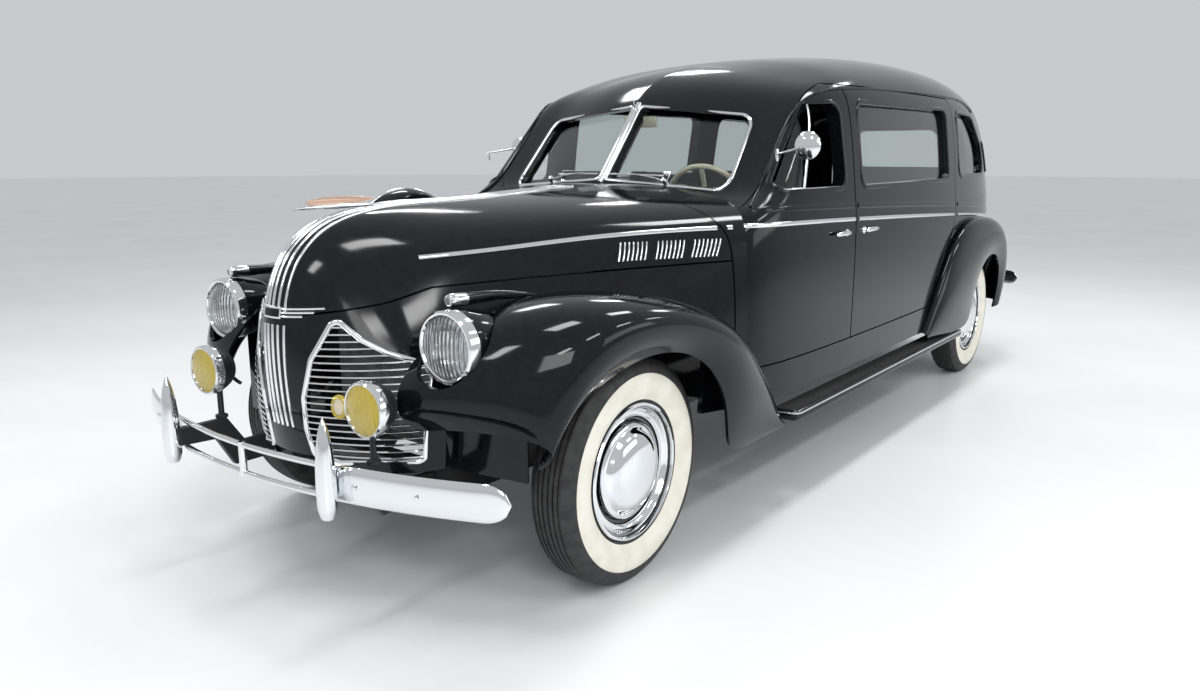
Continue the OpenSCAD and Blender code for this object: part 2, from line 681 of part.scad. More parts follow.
module rear_bumper() {
    color("#c8ccd2") {
        translate([astern(1162), 0, 0]) mirror([1, 0, 0]) bumper_blade(1900, 850, 500, 100, 22);
        for (s = [1, -1]) translate([astern(1162), s * 393, 475]) guard(122);
    }
    color("#202124") for (s = [1, -1]) on_side(s)
        across([[astern(901), rail_bottom + 30], [astern(901), rail_bottom + 95],
            [astern(960), rail_bottom + 95],
            [astern(1040), 530], [astern(1148), 530], [astern(1148), 470], [astern(1080), 465],
                [astern(1010), rail_bottom + 30]],
            rail_half_spacing - 9, rail_half_spacing + 13);
}
module headlamps() {
    // Round housings let into the fender's shoulder, with a chrome hood round each lens.
    for (s = [1, -1]) translate([ahead(-577), s * 548, 838]) {
        color("#c8ccd2") rotate([0, -90, 0]) rotate_extrude($fn = 64)
            polygon([[89, 22], [89, 4], [92, 0], [97, 0], [101, 6], [105, 30], [104, 62], [98, 92],
                [90, 92], [90, 22]]);
        color("#15161a") rotate([0, -90, 0]) rotate_extrude($fn = 64)
            polygon([[0, 30], [89.5, 30], [89.5, 92.5], [96, 92.5], [92, 130], [78, 165], [50, 195],
                [0, 205]]);
    }
}
module headlamp_lenses() {
    color("#e8edf0") for (s = [1, -1]) translate([ahead(-577) - 2, s * 548, 838]) rotate([0, -90, 0])
        rotate_extrude($fn = 64) polygon([[0, -14], [30, -12.5], [60, -8], [80, -2], [88.5, 3],
            [88.5, 20], [0, 20]]);
}
module parking_lamps() {
    // Small lamps on top of the headlamps, each with a ridge that runs back along the fender.
    for (s = [1, -1]) translate([ahead(-535), s * 535, 950]) {
        color("#c8ccd2") as_panel() hull() {
            translate([0, -17, 0]) cube([12, 34, 22]);
            translate([-60, -15, 6]) cube([10, 30, 30]);
        }
        color("#15161a") as_panel() hull() {
            translate([-75, -15, -4]) cube([13, 30, 38]);
            translate([-380, -8, -12]) cube([10, 16, 20]);
        }
    }
}
module fog_lamps() {
    for (s = [1, -1]) {
        translate([ahead(-748), s * 398, 673]) rotate([0, -90, 0]) {
            color("#c8ccd2") rotate_extrude($fn = 56)
                polygon([[71.5, 20], [71.5, 2], [75, 0], [79, 3], [81, 14], [79, 30], [72, 30]]);
            color("#202124") rotate_extrude($fn = 56)
                polygon([[0, 20.5], [71.5, 20.5], [71.5, 30.5], [77, 30.5], [66, 60], [44, 88],
                    [16, 100], [0, 100]]);
        }
        color("#202124") {
            translate([ahead(-705), s * (rail_half_spacing + 14), 510.5]) cylinder(h = 95, r = 10);
            translate([ahead(-705), s * (rail_half_spacing + 14), 510.5]) cylinder(h = 10, r = 18);
        }
    }
}
module fog_lamp_lenses() {
    color("#e2c53a") for (s = [1, -1]) translate([ahead(-748) + 0.5, s * 398, 673]) rotate([0, -90, 0])
        cylinder(h = 15, r = 71.2, $fn = 56);
}
module tail_lamps() {
    for (s = [1, -1]) translate([astern(640), s * 770, 770]) {
        color("#c8ccd2") {
            rotate([0, 90, 0]) rotate_extrude($fn = 40)
                polygon([[0, -60], [16, -52], [30, -25], [36, 0], [36, 8], [0, 8]]);
        }
        color("#8f1414") rotate([0, -90, 0]) rotate_extrude($fn = 40)
            polygon([[0, 8.5], [31, 8.5], [26, 20], [14, 27], [0, 29]]);
    }
}
module fixed_glass() {
    color([0.7, 0.75, 0.76, 0.35]) as_panel() both_halves() intersection() {
        glass_half();
        union() {
            windshield_area(0);
            quarter_window();
        }
        translate([-4000, 20, 0]) cube([8000, 2000, 3000]);
    }
}
module door_glass(front) {
    // The front door's main pane is lowered into the door, so only its vent pane shows.
    color([0.7, 0.75, 0.76, 0.35]) as_panel() intersection() {
        glass_half();
        if (front) intersection() {
            front_window();
            across([[vent_x, sill_height - 50], [vent_x - 175, window_top + 60],
                [vent_x + 700, window_top + 60],
                [vent_x + 700, sill_height - 50]], 600, 1100);
        }
        if (!front) rear_window();
    }
}
module back_glass() {
    color([0.7, 0.75, 0.76, 0.35]) as_panel() both_halves() intersection() {
        glass_half();
        back_window();
    }
}

module side_mirror(disc_x) {
    // A round mirror on an arm from the front edge of the door's window frame.
    foot = [ahead(985), wide(757), 1362];
    disc = [disc_x, wide(757) + 113, 1393];
    color("#c8ccd2") {
        translate(foot + [-4, -2, -26]) cube([8, 8, 44]);
        tube(foot, disc + [0, 0, -4], 4.5);
        translate(disc + [-12, 0, 0]) rotate([0, 90, 0]) rotate_extrude($fn = 48)
            polygon([[0, 0], [50, 0], [53, 4], [50, 12], [30, 20], [0, 24]]);
    }
}
module hood_ornament() {
    // A slim chrome spear with a clear fin, on the front of the hood.
    color("#c8ccd2") as_panel() hull() {
        translate([ahead(-650), -4, 1199]) cube([10, 8, 13]);
        translate([ahead(-560), -12, 1190]) cube([60, 24, 22]);
        translate([ahead(-330), -5, 1203.5]) cube([10, 10, 8.5]);
    }
    color("#d9a15c") as_panel() hull() {
        translate([ahead(-610), -3, 1212.5]) cube([10, 6, 8]);
        translate([ahead(-480), -4, 1212.5]) cube([20, 8, 26]);
        translate([ahead(-340), -2.5, 1212.5]) cube([10, 5, 30]);
    }
}
module dashboard() {
    color("#2a2521") as_panel() intersection() {
        cabin_room(wall + 14);
        translate([ahead(905), -700, 940]) cube([60, 1400, 158]);
    }
    // Steering column, up to the hub.
    color("#15161a") tube(column_foot, column_foot + 270 * column_axis, 16);
}
module steering_wheel() {
    color("#d8cfb4") translate(wheel_hub) rotate([0, -70, 0]) {
        rotate_extrude() translate([200, 0]) circle(r = 11, $fn = 20);
        cylinder(h = 26, r = 32, center = true);
        for (a = [0, 120, 240]) rotate([0, 0, a]) translate([0, -9, -5]) cube([200, 18, 10]);
    }
}
module front_seat() {
    color("#3b3430") {
        translate([ahead(1880), -660, 640]) cube([520, 1320, 150]);
        translate([ahead(1990), -660, 640]) rotate([0, -8, 0]) cube([120, 1320, 560]);
        translate([ahead(1860), -600, 474.5]) cube([460, 1200, 165]);
    }
}
module load_deck() {
    // Wooden deck with bright rails, behind the seat.
    rear = astern(690);
    front = ahead(2150);
    color("#5b4630") translate([rear, -520, 605]) cube([front - rear, 1040, 25]);
    color("#c8ccd2") for (y = [-260, 0, 260]) translate([rear + 30, y - 12, 630])
        cube([front - rear - 60, 24, 14]);
}
module engine() {
    color("#4a4d50") translate([ahead(-330), -240, 450]) mirror([1, 0, 0]) cube([830, 480, 560]);
}
module front_suspension() {
    // Cross member, and two arms out to each kingpin.
    color("#202124") {
        translate([front_axle_x - 45, -340, rail_bottom - 30]) cube([90, 680, 28]);
        for (s = [1, -1]) on_side(s) for (z = [tyre_radius - 90, tyre_radius + 82])
            translate([front_axle_x - 30, rail_half_spacing + 32, z])
                cube([60, kingpin_y - 22 - rail_half_spacing - 32, 24]);
    }
}
module knuckle() {
    color("#34363a") {
        translate([front_axle_x, kingpin_y, tyre_radius - 100]) cylinder(h = 220, r = 16);
        translate([front_axle_x, kingpin_y, tyre_radius]) rotate([-90, 0, 0])
            cylinder(h = front_track / 2 + 9 - kingpin_y, r = spindle_radius);
    }
}
module rear_axle() {
    color("#202124") {
        translate([rear_axle_x, -600, tyre_radius]) rotate([-90, 0, 0]) cylinder(h = 1200, r = 42);
        translate([rear_axle_x, -rear_track / 2 - 10, tyre_radius]) rotate([-90, 0, 0])
            cylinder(h = rear_track + 20, r = spindle_radius);
        translate([rear_axle_x, 0, tyre_radius]) sphere(r = 110);
        for (s = [1, -1]) translate([rear_axle_x - 600, s * 560 - 30, 305]) cube([1200, 60, 24]);
        tube([rear_axle_x, 0, tyre_radius], [ahead(1200), 0, shaft_z + 4], 33);
    }
}
module exhaust() {
    color("#55524e") {
        tube([ahead(300), -290, 285], [astern(950), -290, 285], 22);
        translate([ahead(2400), -290, 252]) rotate([0, 90, 0]) cylinder(h = 500, r = 58);
        translate([ahead(300), -290, 263]) cylinder(h = 240, r = 22);
        translate([ahead(300), -290, 480]) rotate([-90, 0, 0]) cylinder(h = 49.5, r = 22);
    }
}
module fuel_tank() {
    color("#26272b") translate([astern(690), -300, rail_bottom - 10]) cube([330, 600, 115]);
}
module spare_wheel() {
    // Covered spare wheel, standing in its well.
    r = spare_radius;
    color("#15161a") translate([spare_x, -spare_inner_y, spare_z]) rotate([90, 0, 0])
        rotate_extrude($fn = 96)
        polygon([[0, 0], [r - 45, 0], [r - 20, 10], [r - 5, 32], [r, 65], [r - 4, 100], [r - 25, 128],
            [r - 75, 145], [0, 150]]);
}
module tyre(x, y, s) {
    h = tyre_width / 2;
    color("#1c1c1d") translate([x, y, tyre_radius]) rotate([90, 0, 0]) rotate_extrude($fn = 120)
        polygon([[rim_radius + 0.2, -60], [rim_radius + 12, -66], [rim_radius + 35, 8 - h],
            [rim_radius + 70, -h], [tyre_radius - 50, 1 - h],
            [tyre_radius - 22, 9 - h], [tyre_radius - 6, 24 - h], [tyre_radius, 40 - h],
                [tyre_radius, h - 40], [tyre_radius - 6, h - 24],
            [tyre_radius - 22, h - 9], [tyre_radius - 50, h - 1], [rim_radius + 70, h],
                [rim_radius + 35, h - 8],
            [rim_radius + 12, 66], [rim_radius + 0.2, 60]]);
}
module wheel(x, y, s) {
    color("#15161a") translate([x, y, tyre_radius]) rotate([-90 * s, 0, 0]) difference() {
        rotate_extrude($fn = 96)
            polygon([[0, -30], [75, -30], [90, -10], [150, 18], [rim_radius - 26, -4],
                [rim_radius - 26, -60], [rim_radius, -64],
                [rim_radius, 62], [rim_radius - 10, 66], [rim_radius - 26, 40], [170, 34], [145, 38],
                    [138, 52],
                [110, 62], [104, 78], [70, 90], [0, 96]]);
        translate([0, 0, -40]) cylinder(h = 60, r = spindle_radius + 0.05);
    }
}
chassis_frame();
floor_pan();
cabin_shell();
cowl_top();
nose_panel();
grilles();
front_fender(false);  // front_fender_left
mirror([0, 1, 0]) front_fender(true);  // front_fender_right
rear_fender();  // rear_fender_left
mirror([0, 1, 0]) rear_fender();  // rear_fender_right
running_board();  // running_board_left
mirror([0, 1, 0]) running_board();  // running_board_right
front_bumper();
rear_bumper();
headlamps();
headlamp_lenses();
parking_lamps();
fog_lamps();
fog_lamp_lenses();
tail_lamps();
fixed_glass();
dashboard();
front_seat();
load_deck();
engine();
front_suspension();
rear_axle();
exhaust();
fuel_tank();
spare_wheel();
hood();
hood_ornament();
front_door(false);  // front_door_left
door_glass(true);  // front_door_left_glass
side_mirror(ahead(1003));  // mirror_left
mirror([0, 1, 0]) front_door(true);  // front_door_right
mirror([0, 1, 0]) door_glass(true);  // front_door_right_glass
mirror([0, 1, 0]) side_mirror(ahead(1325));  // mirror_right
rear_door();  // rear_door_left
door_glass(false);  // rear_door_left_glass
mirror([0, 1, 0]) rear_door();  // rear_door_right
mirror([0, 1, 0]) door_glass(false);  // rear_door_right_glass
loading_door();
back_glass();  // loading_door_glass
knuckle();  // knuckle_left
mirror([0, 1, 0]) knuckle();  // knuckle_right
steering_wheel();
tyre(front_axle_x, front_track / 2, 1);  // tyre_front_left
wheel(front_axle_x, front_track / 2, 1);  // wheel_front_left
tyre(front_axle_x, -front_track / 2, -1);  // tyre_front_right
wheel(front_axle_x, -front_track / 2, -1);  // wheel_front_right
tyre(rear_axle_x, rear_track / 2, 1);  // tyre_rear_left
wheel(rear_axle_x, rear_track / 2, 1);  // wheel_rear_left
tyre(rear_axle_x, -rear_track / 2, -1);  // tyre_rear_right
wheel(rear_axle_x, -rear_track / 2, -1);  // wheel_rear_right
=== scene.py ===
"""A long funeral coach in black enamel and chrome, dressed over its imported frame."""
import bpy
import math
import numpy as np
from mathutils import Matrix, Vector
from mathutils.bvhtree import BVHTree


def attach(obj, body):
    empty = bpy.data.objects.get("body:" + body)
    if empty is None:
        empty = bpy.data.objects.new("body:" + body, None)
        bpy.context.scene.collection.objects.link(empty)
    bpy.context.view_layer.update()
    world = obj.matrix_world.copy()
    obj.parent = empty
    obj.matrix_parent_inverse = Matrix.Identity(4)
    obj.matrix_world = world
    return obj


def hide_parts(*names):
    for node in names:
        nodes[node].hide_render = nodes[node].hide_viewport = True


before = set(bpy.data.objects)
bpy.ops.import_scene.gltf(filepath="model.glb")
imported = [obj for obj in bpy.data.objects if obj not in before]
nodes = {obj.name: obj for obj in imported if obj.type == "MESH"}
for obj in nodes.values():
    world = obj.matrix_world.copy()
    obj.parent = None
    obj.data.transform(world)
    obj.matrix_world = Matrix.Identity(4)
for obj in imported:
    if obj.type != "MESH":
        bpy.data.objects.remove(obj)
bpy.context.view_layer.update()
bpy.ops.object.select_all(action="DESELECT")

# ---------------------------------------------------------------- camera
# A standing person's height, off the coach's left front corner, with a
# moderately wide lens and no tilt to either side.
camera_at = Vector((4.2915, 2.3705, 1.3595))
camera_turn = 216.9
camera_dip = 11.754
bpy.ops.object.camera_add(location=camera_at)
camera = bpy.context.object
camera.name = "studio_camera"
heading = Vector((math.cos(math.radians(camera_turn)), math.sin(math.radians(camera_turn)), 0))
dip = math.radians(camera_dip)
aim = heading * math.cos(dip) - Vector((0, 0, math.sin(dip)))
camera.rotation_euler = aim.to_track_quat("-Z", "Y").to_euler()
camera.data.sensor_width = 36.0
camera.data.lens = 27.53
bpy.context.scene.camera = camera

# ---------------------------------------------------------------- studio
# A pale floor that runs out to the horizon, an even pale sky, and rows of
# soft strips overhead that draw bright lines along the paint.


def finish(name, color, roughness, metallic=0.0, **sockets):
    """A material with one main shader, and the sockets that are set on it."""
    mat = bpy.data.materials.new(name)
    mat.use_nodes = True
    shader = mat.node_tree.nodes["Principled BSDF"]
    shader.inputs["Base Color"].default_value = (*color, 1)
    shader.inputs["Roughness"].default_value = roughness
    shader.inputs["Metallic"].default_value = metallic
    for socket, value in sockets.items():
        shader.inputs[socket.replace("_", " ")].default_value = value
    return mat


def noise(mat, scale, detail=4.0, stretch=(1, 1, 1)):
    """A noise on the object's own coordinates, finer one way where it is stretched."""
    tree = mat.node_tree
    place = tree.nodes.new("ShaderNodeTexCoord")
    turn = tree.nodes.new("ShaderNodeMapping")
    turn.inputs["Scale"].default_value = stretch
    grain = tree.nodes.new("ShaderNodeTexNoise")
    grain.inputs["Scale"].default_value = scale
    grain.inputs["Detail"].default_value = detail
    tree.links.new(place.outputs["Object"], turn.inputs["Vector"])
    tree.links.new(turn.outputs["Vector"], grain.inputs["Vector"])
    return grain.outputs["Fac"]


def vary_roughness(mat, grain, low, high):
    """Roughness that follows a grain between two values."""
    tree = mat.node_tree
    span = tree.nodes.new("ShaderNodeMapRange")
    span.inputs["From Min"].default_value = 0.3
    span.inputs["From Max"].default_value = 0.7
    span.inputs["To Min"].default_value = low
    span.inputs["To Max"].default_value = high
    tree.links.new(grain, span.inputs["Value"])
    tree.links.new(span.outputs["Result"], tree.nodes["Principled BSDF"].inputs["Roughness"])


def vary_color(mat, grain, dark, light):
    """Base colour that follows a grain between two colours."""
    tree = mat.node_tree
    ramp = tree.nodes.new("ShaderNodeValToRGB")
    ramp.color_ramp.elements[0].position = 0.35
    ramp.color_ramp.elements[0].color = (*dark, 1)
    ramp.color_ramp.elements[1].position = 0.65
    ramp.color_ramp.elements[1].color = (*light, 1)
    tree.links.new(grain, ramp.inputs["Fac"])
    tree.links.new(ramp.outputs["Color"], tree.nodes["Principled BSDF"].inputs["Base Color"])


floor_paint = finish("floor_paint", (0.86, 0.87, 0.88), 0.35)
vary_roughness(floor_paint, noise(floor_paint, 1.2), 0.3, 0.45)
vary_color(floor_paint, noise(floor_paint, 0.7, 3.0), (0.84, 0.85, 0.86), (0.88, 0.89, 0.90))
bpy.ops.mesh.primitive_circle_add(vertices=96, radius=60, fill_type="NGON", location=(0, 0, 0))
floor = bpy.context.object
floor.name = "studio_floor"
floor.data.materials.append(floor_paint)

world = bpy.data.worlds.new("pale_room")
bpy.context.scene.world = world
world.use_nodes = True
sky = world.node_tree.nodes["Background"]
sky.inputs["Color"].default_value = (0.93, 0.95, 0.97, 1)
sky.inputs["Strength"].default_value = 0.62
bpy.context.scene.view_settings.view_transform = "Standard"


def soft_box(name, at, size, power, aim_at=(0, 0, 0.6)):
    """A rectangular soft light of that size, turned towards a point."""
    bpy.ops.object.light_add(type="AREA", location=at)
    lamp = bpy.context.object
    lamp.name = name
    lamp.data.shape = "RECTANGLE"
    lamp.data.size = size[0]
    lamp.data.size_y = size[1]
    lamp.data.energy = power
    lamp.rotation_euler = (Vector(aim_at) - Vector(at)).to_track_quat("-Z", "Y").to_euler()


for row, side in enumerate((-2.6, 0.9, 4.4)):
    for place, along in enumerate((-3.6, -0.6, 2.4, 5.4)):
        soft_box(f"ceiling_light_{row}_{place}", (along, side, 4.3), (1.3, 0.5), 34, (along, side, 0))
soft_box("key_light", (7.5, 6.5, 4.6), (3.5, 2.4), 150)
soft_box("side_light", (-2.5, 8.5, 3.2), (6.0, 2.2), 90)

# ---------------------------------------------------------------- chassis and running gear
# A boxed steel frame painted black with its axles, floor and tank, a cast
# engine and knuckles, and a bare steel exhaust. The frame parts show as they are.


def raise_grain(mat, grain, depth, strength=1.0):
    """A bump of that depth in metres."""
    tree = mat.node_tree
    bump = tree.nodes.new("ShaderNodeBump")
    bump.inputs["Distance"].default_value = depth
    bump.inputs["Strength"].default_value = strength
    tree.links.new(grain, bump.inputs["Height"])
    tree.links.new(bump.outputs["Normal"], tree.nodes["Principled BSDF"].inputs["Normal"])


def finish_nodes(mat, *names):
    """One finish on frame parts that are not replaced by a finer piece."""
    for name in names:
        for holder in nodes[name].material_slots:
            holder.material = mat


chassis_paint = finish("chassis_paint", (0.012, 0.012, 0.013), 0.45)
vary_roughness(chassis_paint, noise(chassis_paint, 25.0), 0.35, 0.65)
raise_grain(chassis_paint, noise(chassis_paint, 220.0), 0.0003)
cast_iron = finish("cast_iron", (0.16, 0.17, 0.18), 0.6, 0.4)
vary_color(cast_iron, noise(cast_iron, 18.0), (0.10, 0.11, 0.12), (0.2, 0.21, 0.22))
raise_grain(cast_iron, noise(cast_iron, 400.0), 0.0006)
pipe_steel = finish("pipe_steel", (0.30, 0.27, 0.24), 0.5, 0.8)
vary_color(pipe_steel, noise(pipe_steel, 12.0), (0.2, 0.16, 0.13), (0.38, 0.35, 0.32))
finish_nodes(chassis_paint, "chassis_frame", "front_suspension", "rear_axle", "fuel_tank", "floor_pan")
finish_nodes(cast_iron, "engine", "knuckle_left", "knuckle_right")
finish_nodes(pipe_steel, "exhaust")

# ---------------------------------------------------------------- deck, dashboard and steering wheel
# A deck of varnished boards behind, a painted metal dashboard in front, and
# a steering wheel moulded in ivory plastic.
deck_wood = finish("deck_wood", (0.30, 0.16, 0.07), 0.25, Coat_Weight=0.5)
vary_color(deck_wood, noise(deck_wood, 30.0, 8.0, (0.08, 1, 1)), (0.20, 0.10, 0.04), (0.40, 0.23, 0.11))
ivory_plastic = finish("ivory_plastic", (0.70, 0.62, 0.45), 0.25, Coat_Weight=0.4)
vary_color(ivory_plastic, noise(ivory_plastic, 8.0), (0.64, 0.56, 0.40), (0.74, 0.67, 0.50))
dash_paint = finish("dash_paint", (0.09, 0.06, 0.04), 0.3, Coat_Weight=0.5)
vary_color(dash_paint, noise(dash_paint, 22.0, 6.0, (1, 0.15, 1)), (0.06, 0.04, 0.025), (0.12, 0.08, 0.05))
finish_nodes(deck_wood, "load_deck")
finish_nodes(dash_paint, "dashboard")
finish_nodes(ivory_plastic, "steering_wheel")

# ---------------------------------------------------------------- cabin
# The roof, sides and tail are one smooth steel pressing in black enamel: a
# fine grid laid on the same surface that its frame part has, given a wall
# and cut for its openings. Sizes are in millimetres from here on.
black_enamel = finish("black_enamel", (0.004, 0.004, 0.006), 0.1, Specular_IOR_Level=0.3)
vary_roughness(black_enamel, noise(black_enamel, 3.0), 0.05, 0.14)
vary_color(black_enamel, noise(black_enamel, 40.0, 6.0), (0.003, 0.003, 0.005), (0.005, 0.006, 0.008))

wheelbase = 3710
axle_shift = 145
front_axle_x = wheelbase / 2 + axle_shift
rear_axle_x = front_axle_x - wheelbase
wheel_z = 370


def ahead(d):
    """The place at distance d behind the front axle."""
    return front_axle_x - d


def astern(d):
    """The place at distance d behind the rear axle."""
    return rear_axle_x - d


def spline_weights(steps, count):
    """For each step along a spline: the first of the four net points that shape it, and their shares."""
    rows = []
    for k in range(steps + 1):
        s = k * (count - 1) / steps
        i = min(int(s), count - 2)
        t = s - i
        rows.append((i, ((1 - t) ** 3 / 6, (3 * t ** 3 - 6 * t * t + 4) / 6,
                         (-3 * t ** 3 + 3 * t * t + 3 * t + 1) / 6, t ** 3 / 6)))
    return rows


def spline(points, steps, start_mirror=False, end_mirror=False):
    """The smooth line through a row of net points; across the middle it goes on into its mirror image."""
    p = np.asarray(points, float)
    flip = np.array([1, -1, 1])
    first = p[1] * flip if start_mirror else 2 * p[0] - p[1]
    last = p[-2] * flip if end_mirror else 2 * p[-1] - p[-2]
    q = np.concatenate([first[None], p, last[None]])
    return np.array([sum(w * q[i + n] for n, w in enumerate(shares))
                     for i, shares in spline_weights(steps, len(p))])


def surface_grid(net, up, along, mid):
    """A grid of points on the smooth surface over a net: rows run up the net, columns along it."""
    rows = np.array([spline(row, along, mid[2], mid[3]) for row in net])
    columns = np.array([spline(rows[:, j], up, mid[0], mid[1]) for j in range(along + 1)])
    return columns.transpose(1, 0, 2)


def offset_grid(g, d, mid):
    """The grid moved by d along its normals, which lie in the middle plane where it is mirrored."""
    flip = np.array([1, -1, 1])
    north = np.concatenate([g[1:], (g[-2] * flip if mid[1] else g[-1])[None]])
    south = np.concatenate([(g[1] * flip if mid[0] else g[0])[None], g[:-1]])
    east = np.concatenate([g[:, 1:], (g[:, -2] * flip if mid[3] else g[:, -1])[:, None]], axis=1)
    west = np.concatenate([(g[:, 1] * flip if mid[2] else g[:, 0])[:, None], g[:, :-1]], axis=1)
    normal = np.cross(east - west, north - south)
    normal /= np.maximum(np.linalg.norm(normal, axis=2, keepdims=True), 1e-9)
    return g + d * normal


def mesh_piece(name, points, faces):
    """A new object from points in millimetres."""
    mesh = bpy.data.meshes.new(name)
    mesh.from_pydata([tuple(p) for p in np.asarray(points) / 1000.0], [], faces)
    piece = bpy.data.objects.new(name, mesh)
    bpy.context.collection.objects.link(piece)
    return piece


def activate(piece):
    bpy.ops.object.select_all(action="DESELECT")
    piece.select_set(True)
    bpy.context.view_layer.objects.active = piece


def tidy_mesh(piece, gap=0.00005):
    """Welds doubled points and turns every face outwards."""
    activate(piece)
    bpy.ops.object.mode_set(mode="EDIT")
    bpy.ops.mesh.select_all(action="SELECT")
    bpy.ops.mesh.remove_doubles(threshold=gap)
    bpy.ops.mesh.dissolve_degenerate(threshold=0.00001)
    bpy.ops.mesh.normals_make_consistent(inside=False)
    bpy.ops.object.mode_set(mode="OBJECT")


def quads(rows, columns, start=0, turned=False):
    """Faces of a grid of that many points each way."""
    out = []
    for i in range(rows - 1):
        for j in range(columns - 1):
            a = start + i * columns + j
            face = (a, a + 1, a + columns + 1, a + columns)
            out.append(face[::-1] if turned else face)
    return out


def both_sides(g):
    """The left half's rows, then the same rows mirrored, from the middle down the right side."""
    return np.concatenate([g, (g * np.array([1, -1, 1]))[-2::-1]])


def shell(name, outer, inner, open_end):
    """A hollow pressing over both sides: two skins, with edges at the bottom and at an open end."""
    a = both_sides(outer)
    b = both_sides(inner)
    rows, columns = a.shape[:2]
    size = rows * columns
    faces = quads(rows, columns) + quads(rows, columns, size, True)
    for j in range(columns - 1):
        faces.append((j, size + j, size + j + 1, j + 1))
        k = (rows - 1) * columns + j
        faces.append((k, k + 1, size + k + 1, size + k))
    if open_end:
        for i in range(rows - 1):
            k = i * columns + columns - 1
            faces.append((k, size + k, size + k + columns, k + columns))
    piece = mesh_piece(name, np.concatenate([a.reshape(-1, 3), b.reshape(-1, 3)]), faces)
    tidy_mesh(piece)
    return piece


def solid(name, outer, open_end):
    """The same outer skin filled, to trim what runs into it."""
    a = both_sides(outer)
    rows, columns = a.shape[:2]
    faces = quads(rows, columns)
    bottom = list(range(columns)) + [(rows - 1) * columns + j for j in reversed(range(columns))]
    faces.append(tuple(bottom))
    if open_end:
        faces.append(tuple(i * columns + columns - 1 for i in range(rows)))
    piece = mesh_piece(name, a.reshape(-1, 3), faces)
    tidy_mesh(piece)
    return piece


def rounded(corners, steps=7):
    """An outline of (x, y, radius) corners with each corner rounded by an arc."""
    out = []
    count = len(corners)
    for i, (x, y, radius) in enumerate(corners):
        p = Vector((x, y))
        if radius <= 0:
            out.append((x, y))
            continue
        to_a = Vector(corners[i - 1][:2]) - p
        to_b = Vector(corners[(i + 1) % count][:2]) - p
        half = to_a.angle(to_b) / 2
        cut = min(radius / math.tan(half), 0.48 * min(to_a.length, to_b.length))
        r = cut * math.tan(half)
        centre = p + (to_a.normalized() + to_b.normalized()).normalized() * (r / math.sin(half))
        first = p + to_a.normalized() * cut - centre
        last = p + to_b.normalized() * cut - centre
        turn = (math.atan2(last.y, last.x) - math.atan2(first.y, first.x) + math.pi) % (2 * math.pi) - math.pi
        for k in range(steps + 1):
            angle = math.atan2(first.y, first.x) + turn * k / steps
            out.append((centre.x + r * math.cos(angle), centre.y + r * math.sin(angle)))
    return out


def join(pieces):
    """Several objects made one."""
    activate(pieces[0])
    for piece in pieces:
        piece.select_set(True)
    if len(pieces) > 1:
        bpy.ops.object.join()
    return pieces[0]


def block_between(near, far):
    """A block between two outlines with the same number of points."""
    n = len(near)
    faces = [tuple(range(n)), tuple(reversed(range(n, 2 * n)))]
    faces += [(k, n + k, n + (k + 1) % n, (k + 1) % n) for k in range(n)]
    block = mesh_piece("block", near + far, faces)
    tidy_mesh(block)
    return block


def side_block(outline, y0, y1, both=True):
    """A block with a side-view outline, pushed across from y0 to y1, on one side or both."""
    return join([block_between([(x, sign * y0, z) for x, z in outline], [(x, sign * y1, z) for x, z in outline])
        for sign in ((1, -1) if both else (1,))])


def front_block(outline, x0, x1, both=True, shrink=1.0, about=(0, 0)):
    """A block with a front-view outline of (y, z), from x0 to x1, where it may be smaller."""
    far = [(about[0] + (y - about[0]) * shrink, about[1] + (z - about[1]) * shrink) for y, z in outline]
    return join([block_between([(x0, sign * y, z) for y, z in outline], [(x1, sign * y, z) for y, z in far])
        for sign in ((1, -1) if both else (1,))])


def box_block(x0, x1, y0, y1, z0, z1):
    """A plain box."""
    return front_block([(y0, z0), (y1, z0), (y1, z1), (y0, z1)], x0, x1, both=False)


def round_block(x, z, radius, y0, y1):
    """A cylinder across the coach from y0 to y1."""
    bpy.ops.mesh.primitive_cylinder_add(vertices=96, radius=radius / 1000, depth=abs(y1 - y0) / 1000,
        location=(x / 1000, (y0 + y1) / 2000, z / 1000), rotation=(math.pi / 2, 0, 0))
    block = bpy.context.object
    bpy.ops.object.transform_apply(location=True, rotation=True, scale=True)
    return block


def copy_of(piece, name):
    """A copy with its own mesh."""
    twin = piece.copy()
    twin.data = piece.data.copy()
    twin.name = name
    bpy.context.collection.objects.link(twin)
    return twin


def carve(piece, blocks, operation="DIFFERENCE"):
    """Cuts blocks out of a piece, or keeps what lies inside them, and drops the blocks."""
    for block in blocks:
        activate(piece)
        mod = piece.modifiers.new("carve", "BOOLEAN")
        mod.operation = operation
        mod.solver = "MANIFOLD"
        mod.object = block
        bpy.ops.object.modifier_apply(modifier=mod.name)
        bpy.data.objects.remove(block)
    return piece


def dress(piece, mat, body, slot, *stands_for):
    """Smooth shading, one finish, the body that it rides on and the frame parts that it stands for."""
    activate(piece)
    bpy.ops.object.shade_smooth_by_angle(angle=math.radians(32))
    piece.data.materials.clear()
    piece.data.materials.append(mat)
    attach(piece, body)
    if stands_for:
        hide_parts(*stands_for)
    return piece


def cabin_row(ds, ys, zs):
    """One level of the cabin's net: six stations behind the front axle, then six behind the rear one."""
    return [(ahead(ds[i]) if i < 6 else astern(ds[i]), ys[i], zs if isinstance(zs, int) else zs[i])
            for i in range(12)]


